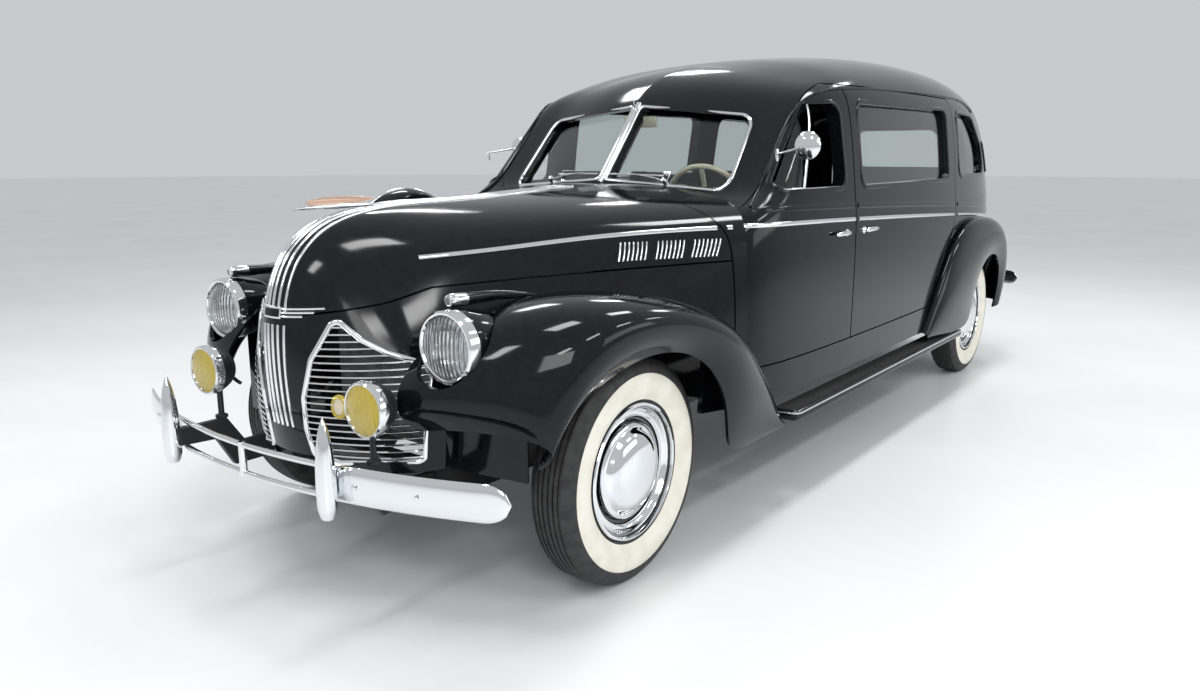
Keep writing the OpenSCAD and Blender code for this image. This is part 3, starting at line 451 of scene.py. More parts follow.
cabin_net = [
    cabin_row([708, 708, 708, 715, 1100, 1590, -1380, -640, 160, 710, 900, 930],
        [0, 330, 660, 805, 840, 852, 855, 850, 805, 660, 345, 0], 430),
    cabin_row([708, 708, 708, 712, 1100, 1590, -1380, -640, 170, 740, 950, 985],
        [0, 330, 660, 808, 844, 856, 860, 855, 810, 670, 350, 0], 700),
    cabin_row([708, 708, 708, 712, 1100, 1590, -1380, -640, 180, 750, 960, 995],
        [0, 330, 650, 805, 842, 856, 862, 856, 808, 668, 350, 0], 950),
    cabin_row([708, 708, 708, 730, 1100, 1590, -1380, -640, 180, 730, 940, 970],
        [0, 320, 630, 790, 832, 852, 858, 852, 800, 660, 345, 0], 1120),
    cabin_row([800, 840, 930, 860, 1110, 1590, -1380, -640, 175, 710, 915, 945],
        [0, 310, 600, 775, 820, 844, 850, 845, 792, 655, 342, 0], 1185),
    cabin_row([862, 905, 1010, 972, 1140, 1590, -1380, -640, 170, 700, 895, 925],
        [0, 300, 590, 762, 812, 838, 844, 840, 786, 650, 340, 0], 1240),
    cabin_row([1000, 1040, 1150, 1120, 1270, 1610, -1380, -640, 140, 640, 830, 860],
        [0, 290, 572, 738, 792, 822, 828, 822, 768, 635, 330, 0], 1400),
    cabin_row([1105, 1148, 1258, 1235, 1360, 1630, -1380, -645, 100, 580, 760, 790],
        [0, 280, 555, 712, 772, 806, 812, 805, 748, 615, 318, 0], 1530),
    cabin_row([1195, 1240, 1345, 1335, 1440, 1650, -1380, -660, 50, 500, 660, 685],
        [0, 270, 530, 672, 738, 782, 790, 780, 710, 570, 295, 0],
        [1628, 1626, 1620, 1622, 1634, 1645, 1652, 1654, 1656, 1655, 1655, 1655]),
    cabin_row([1310, 1345, 1440, 1480, 1570, 1720, -1380, -690, -20, 370, 500, 520],
        [0, 235, 440, 550, 640, 690, 700, 690, 610, 460, 245, 0],
        [1698, 1692, 1682, 1682, 1696, 1722, 1758, 1768, 1768, 1758, 1748, 1745]),
    cabin_row([1470, 1500, 1580, 1620, 1710, 1840, -1360, -740, -180, 180, 310, 330],
        [0, 175, 310, 390, 450, 490, 500, 490, 420, 300, 160, 0],
        [1745, 1743, 1740, 1744, 1764, 1794, 1842, 1860, 1856, 1836, 1824, 1822]),
    cabin_row([1640, 1650, 1680, 1720, 1850, 1990, -1280, -780, -340, 0, 100, 120],
        [0, 0, 0, 0, 0, 0, 0, 0, 0, 0, 0, 0],
        [1778, 1779, 1784, 1792, 1814, 1838, 1884, 1902, 1898, 1880, 1870, 1868])
]
wall = 55
cabin_outer = surface_grid(cabin_net, 88, 132, (False, True, False, True))
cabin_flow = (False, True, True, True)

whole_cabin = shell("whole_cabin", cabin_outer, offset_grid(cabin_outer, -wall, cabin_flow), False)
cabin_block = solid("cabin_block", cabin_outer, False)

gap = 6
door_gap = gap + 3
door_foot = 565
b_line = ahead(1585)
rear_door_x = astern(-660)
front_door_x = ahead(713)


def front_door_outline(g):
    return rounded([
        (front_door_x + g, door_foot - g, 0), (front_door_x + g, 1170, 20), (ahead(885) + g, 1225 + g, 20),
        (ahead(1200) + g, 1600 + g, 60), (ahead(1290) + g, 1648 + g, 30), (b_line - g, 1652 + g, 0),
        (b_line - g, door_foot - g, 0)])


def rear_door_outline(g):
    return rounded([
        (b_line - door_gap + g, door_foot - g, 0), (b_line - door_gap + g, 1652 + g, 0),
        (rear_door_x - g, 1655 + g, 40), (rear_door_x - g, 980 - g, 30),
        (rear_door_x + 200 - 0.8 * g, 840 - 0.8 * g, 60),
        (rear_door_x + 350 - 0.8 * g, door_foot + 30 - 0.8 * g, 30),
        (rear_door_x + 400, door_foot - 1.2 * g, 0)])


sill = 1226
window_top = 1560
front_window = rounded([(ahead(990), sill, 15), (ahead(1225), window_top, 50), (ahead(1500), window_top + 12, 50),
    (ahead(1500), sill, 50)])
rear_window = rounded([(b_line - 90, sill, 50), (b_line - 90, window_top + 20, 50),
    (rear_door_x + 130, window_top + 30, 50), (rear_door_x + 130, sill + 8, 50)])
quarter_window = rounded([(astern(-560), 1245, 50), (astern(-560), window_top + 30, 50),
    (astern(-150), window_top + 20, 130), (astern(90), 1400, 120), (astern(110), 1248, 50)], 12)
windshield = rounded([(22, 1262, 12), (22, 1560, 12), (525, 1512, 60), (552, 1222, 40)], 10)
back_window = rounded([(-330, 1270, 60), (330, 1270, 60), (300, 1530, 80), (-300, 1530, 80)], 10)


def windshield_block():
    return front_block(windshield, ahead(1500), ahead(600))


def back_door_block(g):
    """The loading door's outline, narrower inside so that its far edge clears the frame."""
    outline = rounded([(-620 - g, 500 - g, 50), (620 + g, 500 - g, 50), (600 + g, 1560, 200),
        (500 + g, 1850 + g, 120), (-500 - g, 1850 + g, 120), (-600 - g, 1560, 200)], 12)
    return front_block(outline, astern(1190), astern(290), False, 0.57, (0, 1060))


spare_radius = 345
spare_x = front_axle_x - 530
spare_z = 865
door_notch = 24


def spare_block(spare_grow, y0, y1):
    """The room for the spare wheel and its cover, that much wider than they are."""
    return round_block(spare_x, spare_z, spare_radius + spare_grow, y0, y1)


cabin = copy_of(whole_cabin, "cabin_pressing")
right_door_hole = side_block(front_door_outline(gap), -684, -1000, False)
carve(right_door_hole, [spare_block(door_notch - gap, -600, -1000)])
carve(cabin, [
    side_block(front_door_outline(gap), 684, 1000, False), right_door_hole,
    side_block(rear_door_outline(gap), 709, 1000), side_block(front_window, 690, 1100),
    side_block(quarter_window, 400, 1100), windshield_block(), back_door_block(gap * 1.4),
    round_block(rear_axle_x, wheel_z, 420, -1200, 1200),
    box_block(rear_axle_x - 420, rear_axle_x + 420, -1200, 1200, 300, wheel_z),
    spare_block(8, -777, -1000)])
dress(cabin, black_enamel, "body", "black_paint", "cabin_shell")

# ---------------------------------------------------------------- doors
# Four side doors and the wide loading door at the back, each cut from the
# cabin's own pressing so that it follows the body's shape.
for side, sign in (("left", 1), ("right", -1)):
    door = carve(copy_of(whole_cabin, f"front_door_{side}_pressing"),
        [side_block(front_door_outline(0), sign * 690, sign * 1000, False)], "INTERSECT")
    cuts = [side_block(front_window, sign * 600, sign * 1100, False)]
    if sign < 0:
        cuts.append(spare_block(door_notch, -600, -1000))
    dress(carve(door, cuts), black_enamel, f"front_door_{side}", "black_paint", f"front_door_{side}")
    door = carve(copy_of(whole_cabin, f"rear_door_{side}_pressing"),
        [side_block(rear_door_outline(0), sign * 715, sign * 1000, False)], "INTERSECT")
    dress(carve(door, [side_block(rear_window, sign * 400, sign * 1100, False)]),
        black_enamel, f"rear_door_{side}", "black_paint", f"rear_door_{side}")

back_door = carve(copy_of(whole_cabin, "loading_door_pressing"), [back_door_block(0)], "INTERSECT")
carve(back_door, [front_block(back_window, astern(1200), astern(100), False)])
dress(back_door, black_enamel, "loading_door", "black_paint", "loading_door")

# ---------------------------------------------------------------- glass
# Flat and gently curved panes, six millimetres thick, set half way through
# the wall; the front doors show only their slanted vent panes.
window_glass = finish("window_glass", (0.80, 0.85, 0.85), 0.02, Transmission_Weight=1.0, IOR=1.03, Coat_Weight=0.8)
vary_roughness(window_glass, noise(window_glass, 2.0), 0.0, 0.03)
half_pane = 3
whole_glass = shell("whole_glass", offset_grid(cabin_outer, half_pane - wall / 2, cabin_flow),
    offset_grid(cabin_outer, -half_pane - wall / 2, cabin_flow), False)
vent_x = ahead(1148)
vent_block = [(vent_x, sill - 50), (vent_x - 175, window_top + 60), (vent_x + 700, window_top + 60),
    (vent_x + 700, sill - 50)]


def pane(name, blocks, body, *stands_for):
    """A pane where the blocks meet the sheet of glass."""
    piece = copy_of(whole_glass, name)
    for block in blocks:
        carve(piece, [block], "INTERSECT")
    dress(piece, window_glass, body, "glass", *stands_for)


pane("windshield_glass", [windshield_block()], "body", "fixed_glass")
pane("quarter_glass", [side_block(quarter_window, 400, 1100)], "body")
for side, sign in (("left", 1), ("right", -1)):
    pane(f"vent_pane_{side}", [side_block(front_window, sign * 600, sign * 1100, False),
        side_block(vent_block, sign * 600, sign * 1100, False)], f"front_door_{side}", f"front_door_{side}_glass")
    pane(f"rear_pane_{side}", [side_block(rear_window, sign * 600, sign * 1100, False)],
        f"rear_door_{side}", f"rear_door_{side}_glass")
pane("back_pane", [front_block(back_window, astern(1200), astern(100), False)], "loading_door",
    "loading_door_glass")

# ---------------------------------------------------------------- hood and nose
# The front is another smooth pressing: a lid that lifts from the cowl, the
# nose panel under it with the grille openings, and the cowl behind it.


def nose_row(ds, ys, zs):
    """One level of the nose's net, at eight stations behind the front axle."""
    return [(ahead(ds[i]), ys[i], zs if isinstance(zs, int) else zs[i]) for i in range(8)]


nose_net = [
    nose_row([-705, -690, -635, -530, -350, -30, 420, 715], [0, 110, 260, 400, 440, 500, 680, 800], 430),
    nose_row([-740, -720, -660, -545, -350, -30, 420, 702], [0, 110, 265, 410, 450, 510, 690, 806], 560),
    nose_row([-755, -732, -668, -540, -340, -30, 420, 702], [0, 100, 250, 385, 440, 510, 690, 806], 720),
    nose_row([-752, -728, -650, -510, -310, -10, 420, 702], [0, 85, 205, 310, 375, 470, 670, 802], 880),
    nose_row([-728, -702, -615, -465, -260, 20, 420, 702], [0, 75, 175, 260, 335, 440, 640, 792], 1000),
    nose_row([-668, -645, -560, -410, -210, 70, 430, 715], [0, 65, 145, 225, 305, 410, 600, 775],
        [1095, 1093, 1090, 1088, 1090, 1095, 1105, 1120]),
    nose_row([-555, -538, -465, -330, -140, 120, 480, 860], [0, 55, 115, 175, 245, 340, 480, 640],
        [1170, 1166, 1158, 1150, 1152, 1160, 1180, 1200]),
    nose_row([-370, -360, -305, -190, -30, 190, 530, 900], [0, 35, 70, 105, 135, 190, 260, 330],
        [1202, 1200, 1198, 1197, 1198, 1205, 1220, 1236]),
    nose_row([-150, -145, -105, -20, 90, 270, 570, 900], [0, 0, 0, 0, 0, 0, 0, 0],
        [1212, 1212, 1212, 1213, 1216, 1222, 1236, 1250])
]
hood_skin = 16
nose_flow = (False, True, True, False)
nose_outer = surface_grid(nose_net, 72, 98, nose_flow)
nose_inner = offset_grid(nose_outer, -hood_skin, nose_flow)
whole_nose = shell("whole_nose", nose_outer, nose_inner, True)
nose_block = solid("nose_block", nose_outer, True)
hood_rear_x = ahead(645)


def grown(outline, d):
    """A closed outline moved outwards by d."""
    count = len(outline)
    area = sum(outline[i][0] * outline[(i + 1) % count][1] - outline[(i + 1) % count][0] * outline[i][1]
               for i in range(count))
    turn = 1 if area > 0 else -1
    out = []
    for i, p in enumerate(outline):
        a, b = Vector(outline[i - 1]), Vector(outline[(i + 1) % count])
        along = (b - a).normalized()
        out.append((p[0] + turn * along.y * d, p[1] - turn * along.x * d))
    return out


def hood_block(g):
    """All that lies above the line where the lid parts from the nose, that much lower."""
    return side_block([(ahead(1100), 988 - g), (ahead(-390), 962 - g), (ahead(-520), 930 - g),
        (ahead(-800), 885 - g), (ahead(-800), 1400), (ahead(1100), 1400)], -1000, 1000, False)


def grille_outline(g):
    """The left grille's opening, that much larger."""
    return grown(rounded([(98, 560, 60), (104, 655, 60), (132, 772, 60), (179, 888, 12), (242, 830, 60),
        (298, 792, 60), (368, 752, 25), (386, 715, 40), (392, 600, 60), (386, 468, 15), (185, 461, 30),
        (106, 474, 20)]), g)


hood = carve(copy_of(whole_nose, "hood_pressing"), [hood_block(-gap)], "INTERSECT")
carve(hood, [box_block(ahead(1400), hood_rear_x, -1200, 1200, 0, 2400)])
dress(hood, black_enamel, "hood", "black_paint", "hood")

nose = copy_of(whole_nose, "nose_pressing")
carve(nose, [hood_block(0), box_block(ahead(1400), hood_rear_x, -1200, 1200, 0, 2400),
    box_block(front_axle_x - 520, front_axle_x + 460, 405, 1005, 0, 820),
    box_block(front_axle_x - 520, front_axle_x + 460, -1005, -405, 0, 820),
    front_block(grille_outline(0), ahead(-250), ahead(-1150)),
    box_block(front_axle_x + 300, front_axle_x + 900, -120, 120, 0, 470), spare_block(6, -779, -1000)])
dress(nose, black_enamel, "body", "black_paint", "nose_panel")

cowl = carve(copy_of(whole_nose, "cowl_pressing"),
    [box_block(ahead(1000), hood_rear_x - gap, -1200, 1200, 0, 2400)], "INTERSECT")
carve(cowl, [copy_of(cabin_block, "trim"), spare_block(6, -779, -1000)])
dress(cowl, black_enamel, "body", "black_paint", "cowl_top")

# ---------------------------------------------------------------- fenders
# Deep pontoon fenders of pressed steel, bolted to the body, the front ones
# running back over the door and the right one dished for the spare wheel.
fender_slice = [(1, 0.84, 1), (0.62, 0.98, 1), (0.25, 0.95, 0.85), (0.05, 0.74, 0.55), (0, 0.45, 0.2),
    (0.06, 0.2, 0.05), (0.22, 0, 0)]


def fender_net(slices, axle, outer):
    """Points of a fender, slice by slice, each from its lip over the crown to its inner edge."""
    return [[(axle + c[0] + (s[0] + (s[2] - s[0]) * c[6]) * (c[2] - c[0]), c[4] + s[1] * (c[5] * outer - c[4]),
              c[1] + s[0] * (c[3] - c[1])) for c in slices] for s in fender_slice]


# Each slice: its crown's place and height, its lip's place and height, how
# far out its inner edge lies, its share of the width and how its edge leans.
front_slices = [
    [590, 610, 450, 500, 450, 0.90, 1], [650, 660, 440, 525, 430, 0.91, 1],
        [655, 750, 400, 590, 420, 0.93, 1],
    [560, 868, 330, 670, 430, 0.96, 0.8], [395, 950, 195, 740, 440, 0.99, 0.4],
        [140, 972, 40, 775, 480, 1.01, 0],
    [-200, 915, -150, 755, 560, 1.02, 0], [-450, 812, -310, 645, 660, 1.02, 0],
        [-620, 680, -385, 510, 740, 1, 0],
    [-760, 545, -405, 380, 780, 0.98, 0], [-850, 430, -480, 320, 800, 0.96, 0],
        [-890, 345, -860, 320, 800, 0.95, 0]
]
rear_slices = [
    [1110, 430, 1085, 380, 820, 0.95, 0], [1040, 525, 800, 376, 818, 0.98, 0],
        [920, 690, 580, 375, 816, 1, 0],
    [730, 880, 430, 400, 815, 1, 0], [480, 985, 385, 560, 812, 1, 0], [180, 1003, 220, 725, 800, 1, 0],
    [-110, 980, 0, 775, 780, 1, 0], [-370, 892, -220, 715, 750, 0.99, 0.2],
        [-570, 740, -350, 580, 710, 0.97, 0.4],
    [-665, 565, -390, 440, 680, 0.95, 0.5], [-600, 395, -400, 365, 680, 0.93, 0.5]
]
fender_skin = 12
open_flow = (False, False, False, False)
front_outer = surface_grid(fender_net(front_slices, front_axle_x, 940), 40, 112, open_flow)
front_inner = offset_grid(front_outer, -fender_skin, open_flow)
rear_outer = surface_grid(fender_net(rear_slices, rear_axle_x, 930), 40, 104, open_flow)
rear_inner = offset_grid(rear_outer, -fender_skin, open_flow)


def panel(name, outer, inner, right=False):
    """One side's pressing, closed all round; the right one is its mirror image."""
    flip = np.array([1, -1 if right else 1, 1])
    rows, columns = outer.shape[:2]
    size = rows * columns
    faces = quads(rows, columns) + quads(rows, columns, size, True)
    rim = list(range(columns)) + [i * columns + columns - 1 for i in range(1, rows)]
    rim += [(rows - 1) * columns + j for j in range(columns - 2, -1, -1)]
    rim += [i * columns for i in range(rows - 2, 0, -1)]
    for k, a in enumerate(rim):
        b = rim[(k + 1) % len(rim)]
        faces.append((a, size + a, size + b, b))
    piece = mesh_piece(name, np.concatenate([outer.reshape(-1, 3), inner.reshape(-1, 3)]) * flip, faces)
    tidy_mesh(piece)
    return piece


def turned(name, profile, at, axis, steps=64, closed=True):
    """A lathe-turned shape: (distance along the axis, radius) points spun about an axis through a point."""
    mesh = bpy.data.meshes.new(name)
    count = len(profile)
    edges = [(k, k + 1) for k in range(count - 1)]
    if closed:
        edges.append((count - 1, 0))
    mesh.from_pydata([(r / 1000, 0, t / 1000) for t, r in profile], edges, [])
    piece = bpy.data.objects.new(name, mesh)
    bpy.context.collection.objects.link(piece)
    activate(piece)
    bpy.ops.object.mode_set(mode="EDIT")
    bpy.ops.mesh.select_all(action="SELECT")
    bpy.ops.mesh.spin(steps=steps, angle=2 * math.pi, center=(0, 0, 0), axis=(0, 0, 1))
    bpy.ops.object.mode_set(mode="OBJECT")
    tidy_mesh(piece, 0.00002)
    turn = Vector((0, 0, 1)).rotation_difference(Vector(axis)).to_matrix().to_4x4()
    mesh.transform(Matrix.Translation(Vector(at) / 1000) @ turn)
    return piece


headlamp_x, headlamp_y, headlamp_z = ahead(-577), 548, 838
lamp_room = [(-80, 0), (-80, 107), (66, 107), (96, 101), (132, 96), (170, 82), (200, 54), (210, 0)]
for side, sign in (("left", 1), ("right", -1)):
    fender = panel(f"front_fender_{side}_pressing", front_outer, front_inner, sign < 0)
    cuts = [copy_of(nose_block, "trim"), copy_of(cabin_block, "trim"),
        side_block(front_door_outline(gap + 2), sign * 680, sign * 1000, False),
        turned("room", lamp_room, (headlamp_x, sign * headlamp_y, headlamp_z), (-1, 0, 0), 48)]
    if sign < 0:
        cuts.append(spare_block(6, -779, -1000))
    dress(carve(fender, cuts), black_enamel, "body", "black_paint", f"front_fender_{side}")
    fender = panel(f"rear_fender_{side}_pressing", rear_outer, rear_inner, sign < 0)
    carve(fender, [copy_of(cabin_block, "trim"),
        side_block(rear_door_outline(gap + 2), sign * 700, sign * 1000, False)])
    dress(fender, black_enamel, "body", "black_paint", f"rear_fender_{side}")

# ---------------------------------------------------------------- window edges
# Rolled and painted edges round the side windows. The vent panes' dividers
# and the sills are bright. Each strip is swept along a line laid on the skin.
chrome_plate = finish("chrome_plate", (0.80, 0.82, 0.84), 0.06, 1.0)
vary_roughness(chrome_plate, noise(chrome_plate, 9.0), 0.03, 0.11)
outside = 1300
cabin_start, nose_start, badge_start = 2600, 3200, 3300


def skin_tree(piece):
    """What lines and strips are laid on: the faces of a pressing before it is cut."""
    mesh = piece.data
    return BVHTree.FromPolygons([v.co.copy() for v in mesh.vertices], [tuple(p.vertices) for p in mesh.polygons])


cabin_skin = skin_tree(whole_cabin)
nose_skin = skin_tree(whole_nose)


def laid(tree, rays):
    """Where rays in millimetres first meet a skin, with the skin's direction there."""
    out = []
    for start, way in rays:
        spot, normal, _, _ = tree.ray_cast(Vector(start) / 1000, Vector(way).normalized())
        if spot is not None:
            if normal.dot(Vector(way)) > 0:
                normal = -normal
            out.append((spot, normal))
    return out


def side_rays(line, sign):
    """Level rays in from one side, at points given as (x, z)."""
    return [((x, sign * outside, z), (0, -sign, 0)) for x, z in line]


def front_rays(line, start):
    """Level rays back from a place ahead of the coach, at points given as (y, z)."""
    return [((start, y, z), (-1, 0, 0)) for y, z in line]


def moulding(name, line, width, height, closed=False, lift=0.0, flat=0.0):
    """A strip swept along a laid line, half round across, or with a flat top when flat is above zero."""
    w, h, up = width / 2000, height / 1000, lift / 1000
    foot = -0.0015
    arc = []
    for k in range(9):
        c = math.cos(math.pi * k / 8)
        arc.append((w * ((flat if c >= 0 else -flat) + (1 - flat) * c), h * math.sin(math.pi * k / 8)))
    section = [(w, foot)] + arc + [(-w, foot)]
    n, m = len(line), len(section)
    points = []
    for i, (spot, normal) in enumerate(line):
        before = line[i - 1][0] if (i or closed) else spot
        after = line[(i + 1) % n][0] if (i < n - 1 or closed) else spot
        along = (after - before).normalized()
        across = along.cross(normal).normalized()
        raised = across.cross(along).normalized()
        points += [(spot + across * u + raised * (v + up)) * 1000 for u, v in section]
    faces = [(i * m + k, i * m + (k + 1) % m, ((i + 1) % n) * m + (k + 1) % m, ((i + 1) % n) * m + k)
             for i in range(n if closed else n - 1) for k in range(m)]
    if not closed:
        faces += [tuple(range(m)), tuple((n - 1) * m + k for k in reversed(range(m)))]
    piece = mesh_piece(name, points, faces)
    tidy_mesh(piece, 0.00001)
    return piece


def pillar_edge(found, tree, z, side):
    """A point that would lie round the front pillar's corner goes to the corner itself."""
    if found and abs(found[0][0].y) > 0.692:
        return found
    return laid(tree, front_rays([(side * 694, z)], cabin_start))


def ring(name, tree, outline, width, height, side):
    """A frame round an opening in the side."""
    line = []
    for x, z in outline:
        line += pillar_edge(laid(tree, side_rays([(x, z)], side)), tree, z, side)
    return moulding(name, line, width, height, True)


for side, sign in (("left", 1), ("right", -1)):
    dress(ring(f"front_window_edge_{side}", cabin_skin, grown(front_window, 7), 20, 5, sign), black_enamel,
        f"front_door_{side}", "black_paint")
    divider_line = [(vent_x - 175 * k / 12, sill + (window_top + 2 - sill) * k / 12) for k in range(13)]
    bright = [moulding(f"vent_divider_{side}", laid(cabin_skin, side_rays(divider_line, sign)), 11, 6, False, -6)]
    for low_x, high_x, count, width, height, lift in ((ahead(1000), vent_x, 8, 9, 4, -4),
            (vent_x - 12, ahead(1480), 10, 7, 3, -8)):
        sill_line = [(x, sill + 2) for x in np.linspace(low_x, high_x, count)]
        bright.append(moulding("sill", laid(cabin_skin, side_rays(sill_line, sign)), width, height, False, lift))
    dress(join(bright), chrome_plate, f"front_door_{side}", "chrome")
    dress(ring(f"rear_window_edge_{side}", cabin_skin, grown(rear_window, 8), 22, 5, sign), black_enamel,
        f"rear_door_{side}", "black_paint")
    sill_line = [(x, sill + 4) for x in np.linspace(b_line - 120, rear_door_x + 160, 24)]
    dress(moulding(f"rear_window_sill_{side}", laid(cabin_skin, side_rays(sill_line, sign)), 6, 4, False, -5),
        chrome_plate, f"rear_door_{side}", "chrome")
    dress(ring(f"quarter_edge_{side}", cabin_skin, grown(quarter_window, 8), 22, 5, sign), black_enamel,
        "body", "black_paint")

# ---------------------------------------------------------------- windshield and back window frames
# One chromed frame to each flat pane, meeting at a centre post, and one
# round the window in the loading door.
for side, sign in (("left", 1), ("right", -1)):
    frame_line = laid(cabin_skin, front_rays([(sign * y, z) for y, z in grown(windshield, 6)], cabin_start))
    dress(moulding(f"windshield_frame_{side}", frame_line, 16, 7, True), chrome_plate, "body", "chrome")
post = laid(cabin_skin, front_rays([(3, 1245 + 335 * k / 10) for k in range(11)], cabin_start))
post = [(Vector((p.x, 0, p.z)), Vector((0.8, 0, 0.6))) for p, _ in post]
dress(moulding("windshield_post", post, 26, 9), chrome_plate, "body", "chrome")
back_line = laid(cabin_skin, [((-3600, y, z), (1, 0, 0)) for y, z in grown(back_window, 6)])
dress(moulding("back_window_frame", back_line, 16, 6, True), chrome_plate, "loading_door", "chrome")

# ---------------------------------------------------------------- drip rails
# Narrow painted gutters along the roof's edge, from the windshield's foot
# to the back, one on each side.


def smooth_through(stops, steps):
    """A smooth line that passes near the given stops and ends on the first and last."""
    return [tuple(p) for p in spline([(*s, 0)[:3] for s in stops], steps)]


drip_path = smooth_through([(1150, 722, 1165), (1066, 700, 1215), (957, 686, 1305), (848, 680, 1420),
    (747, 682, 1525), (660, 700, 1590), (520, 735, 1628), (331, 758, 1640), (0, 768, 1655), (-600, 766, 1664),
    (-1182, 740, 1670), (-1500, 700, 1655), (-1720, 690, 1590), (-1860, 700, 1480), (-1960, 710, 1360),
    (-2010, 725, 1250)], 150)


def nearest(tree, path):
    """The points on a skin closest to a path in millimetres."""
    return [tree.find_nearest(Vector(p) / 1000)[:2] for p in path]


def mirrored(piece, name):
    """The same piece on the other side."""
    twin = copy_of(piece, name)
    twin.data.transform(Matrix.Scale(-1, 4, (0, 1, 0)))
    twin.data.flip_normals()
    return twin


drip = moulding("drip_rail_left", nearest(cabin_skin, drip_path), 9, 8)
dress(join([drip, mirrored(drip, "drip_rail_right")]), black_enamel, "body", "black_paint")

# ---------------------------------------------------------------- belt moulding
# The long chromed strip along the side, in lengths that part at the hood's
# rear edge and the doors, with a pressed ridge above it on the cabin.
belt_stops = [(ahead(-392), 1051), (ahead(-140), 1060), (ahead(220), 1088), (ahead(574), 1101),
    (ahead(1076), 1101),
    (astern(-1583), 1071), (astern(-539), 1027), (astern(200), 985), (astern(358), 965), (astern(520), 920)]
belt_path = smooth_through(belt_stops, 220)

ridge_rise = 58


def belt_part(name, low_x, high_x, tree, body, sign):
    """A length of the belt, and of the ridge where it lies on the cabin."""
    line = [(p[0], p[1]) for p in belt_path if low_x <= p[0] <= high_x]
    strip = moulding(name, laid(tree, side_rays(line, sign)), 19, 7)
    dress(strip, chrome_plate, body, "chrome")
    if tree is cabin_skin:
        ridge_line = side_rays([(x, z + ridge_rise) for x, z in line], sign)
        ridge = moulding(name.replace("belt", "ridge"), laid(tree, ridge_line), 26, 4)
        dress(ridge, black_enamel, body, "black_paint")


for side, sign in (("left", 1), ("right", -1)):
    belt_part(f"belt_hood_{side}", hood_rear_x + 4, 2400, nose_skin, "hood", sign)
    belt_part(f"belt_cowl_{side}", front_door_x + gap + 5, hood_rear_x - gap - 5, nose_skin, "body", sign)
    belt_part(f"belt_front_door_{side}", b_line + 4, front_door_x - (4 if sign > 0 else 140), cabin_skin,
        f"front_door_{side}", sign)
    belt_part(f"belt_rear_door_{side}", rear_door_x + 4, b_line - door_gap - 4, cabin_skin,
        f"rear_door_{side}", sign)
    belt_part(f"belt_quarter_{side}", -2500, rear_door_x - gap - 4, cabin_skin, "body", sign)

# ---------------------------------------------------------------- hood ribs
# Five chromed ribs down the middle of the hood, over the nose and down
# between the grilles. Each parts where the lid meets the nose.
for place, y in enumerate((-46, -23, 0, 23, 46)):
    top = [((x, y, 1600), (0, 0, -1)) for x in np.linspace(hood_rear_x + 20, 2240, 36)]
    bow = [((2240 + 900 * math.cos(a), y, 800 + 900 * math.sin(a)), (-math.cos(a), 0, -math.sin(a)))
           for a in np.radians(np.linspace(88, 2, 44))]
    low = [((nose_start, y, z), (-1, 0, 0)) for z in np.linspace(800, 560, 10)]
    whole = laid(nose_skin, top + bow + low)
    cut = [k for k, (spot, _) in enumerate(whole) if spot.z > 0.936 - (spot.x - 2.52) * 0.1607]
    hood_rib = moulding(f"hood_rib_{place}", whole[:len(cut)], 9, 6)
    dress(hood_rib, chrome_plate, "hood", "chrome")
    nose_rib = moulding(f"nose_rib_{place}", whole[len(cut) + 1:], 9, 6)
    dress(nose_rib, chrome_plate, "body", "chrome")

# ---------------------------------------------------------------- side strips
# Three groups of slanted chromed strips on the hood's side, ahead of the door.
for side, sign in (("left", 1), ("right", -1)):
    strips = []
    for first in (1748, 1618, 1490):
        for k in range(7):
            x = first - 15 * k
            line = [(x - 20 + 30 * t, 1062 - 60 * t) for t in np.linspace(0, 1, 6)]
            strips.append(moulding("strip", laid(nose_skin, side_rays(line, sign)), 7, 5))
    louvres = join(strips)
    louvres.name = f"side_strips_{side}"
    dress(louvres, chrome_plate, "hood", "chrome")

# ---------------------------------------------------------------- wheels
# Black steel wheels with a stepped bright trim ring and a domed cap, on
# whitewall tyres with a ribbed tread. One is made and copied to each hub.
whitewall_rubber = finish("whitewall_rubber", (0.83, 0.80, 0.70), 0.5)
vary_color(whitewall_rubber, noise(whitewall_rubber, 14.0), (0.76, 0.73, 0.62), (0.86, 0.83, 0.74))
tyre_rubber = finish("tyre_rubber", (0.018, 0.018, 0.019), 0.6)
vary_color(tyre_rubber, noise(tyre_rubber, 30.0), (0.013, 0.013, 0.014), (0.032, 0.032, 0.032))
raise_grain(tyre_rubber, noise(tyre_rubber, 900.0), 0.0002)
wheel_enamel = finish("wheel_enamel", (0.010, 0.010, 0.011), 0.22, Coat_Weight=0.6)
vary_roughness(wheel_enamel, noise(wheel_enamel, 20.0), 0.18, 0.34)
tyre_side = [(60, 222.5), (66, 234), (74, 250), (79, 258), (81.5, 280), (82.5, 292), (82.5, 300), (81.5, 314),
    (79.5, 320), (81, 323), (77, 338), (70, 350), (62, 358)]
tread = []
for groove in (46, 28, 10, -10, -28, -46):
    crown = 370 - (groove / 58) ** 2 * 5
    tread += [(groove + 7, crown), (groove + 6, crown + 0.2), (groove + 3, crown - 0.2), (groove + 2.2, 362.5),
        (groove - 2.2, 362.5), (groove - 3, crown - 0.2)]
tyre_profile = tyre_side + [(59, 363)] + tread + [(-59, 363)] + [(-t, r) for t, r in reversed(tyre_side)]
disc_profile = [(62, 222), (66, 212), (44, 203), (30, 198), (30, 176), (36, 172), (34, 164), (20, 150),
    (12, 120), (30, 100), (30, 40), (-30, 40), (-30, 75), (-10, 90), (18, 150), (-4, 196), (-60, 196), (-64, 222)]
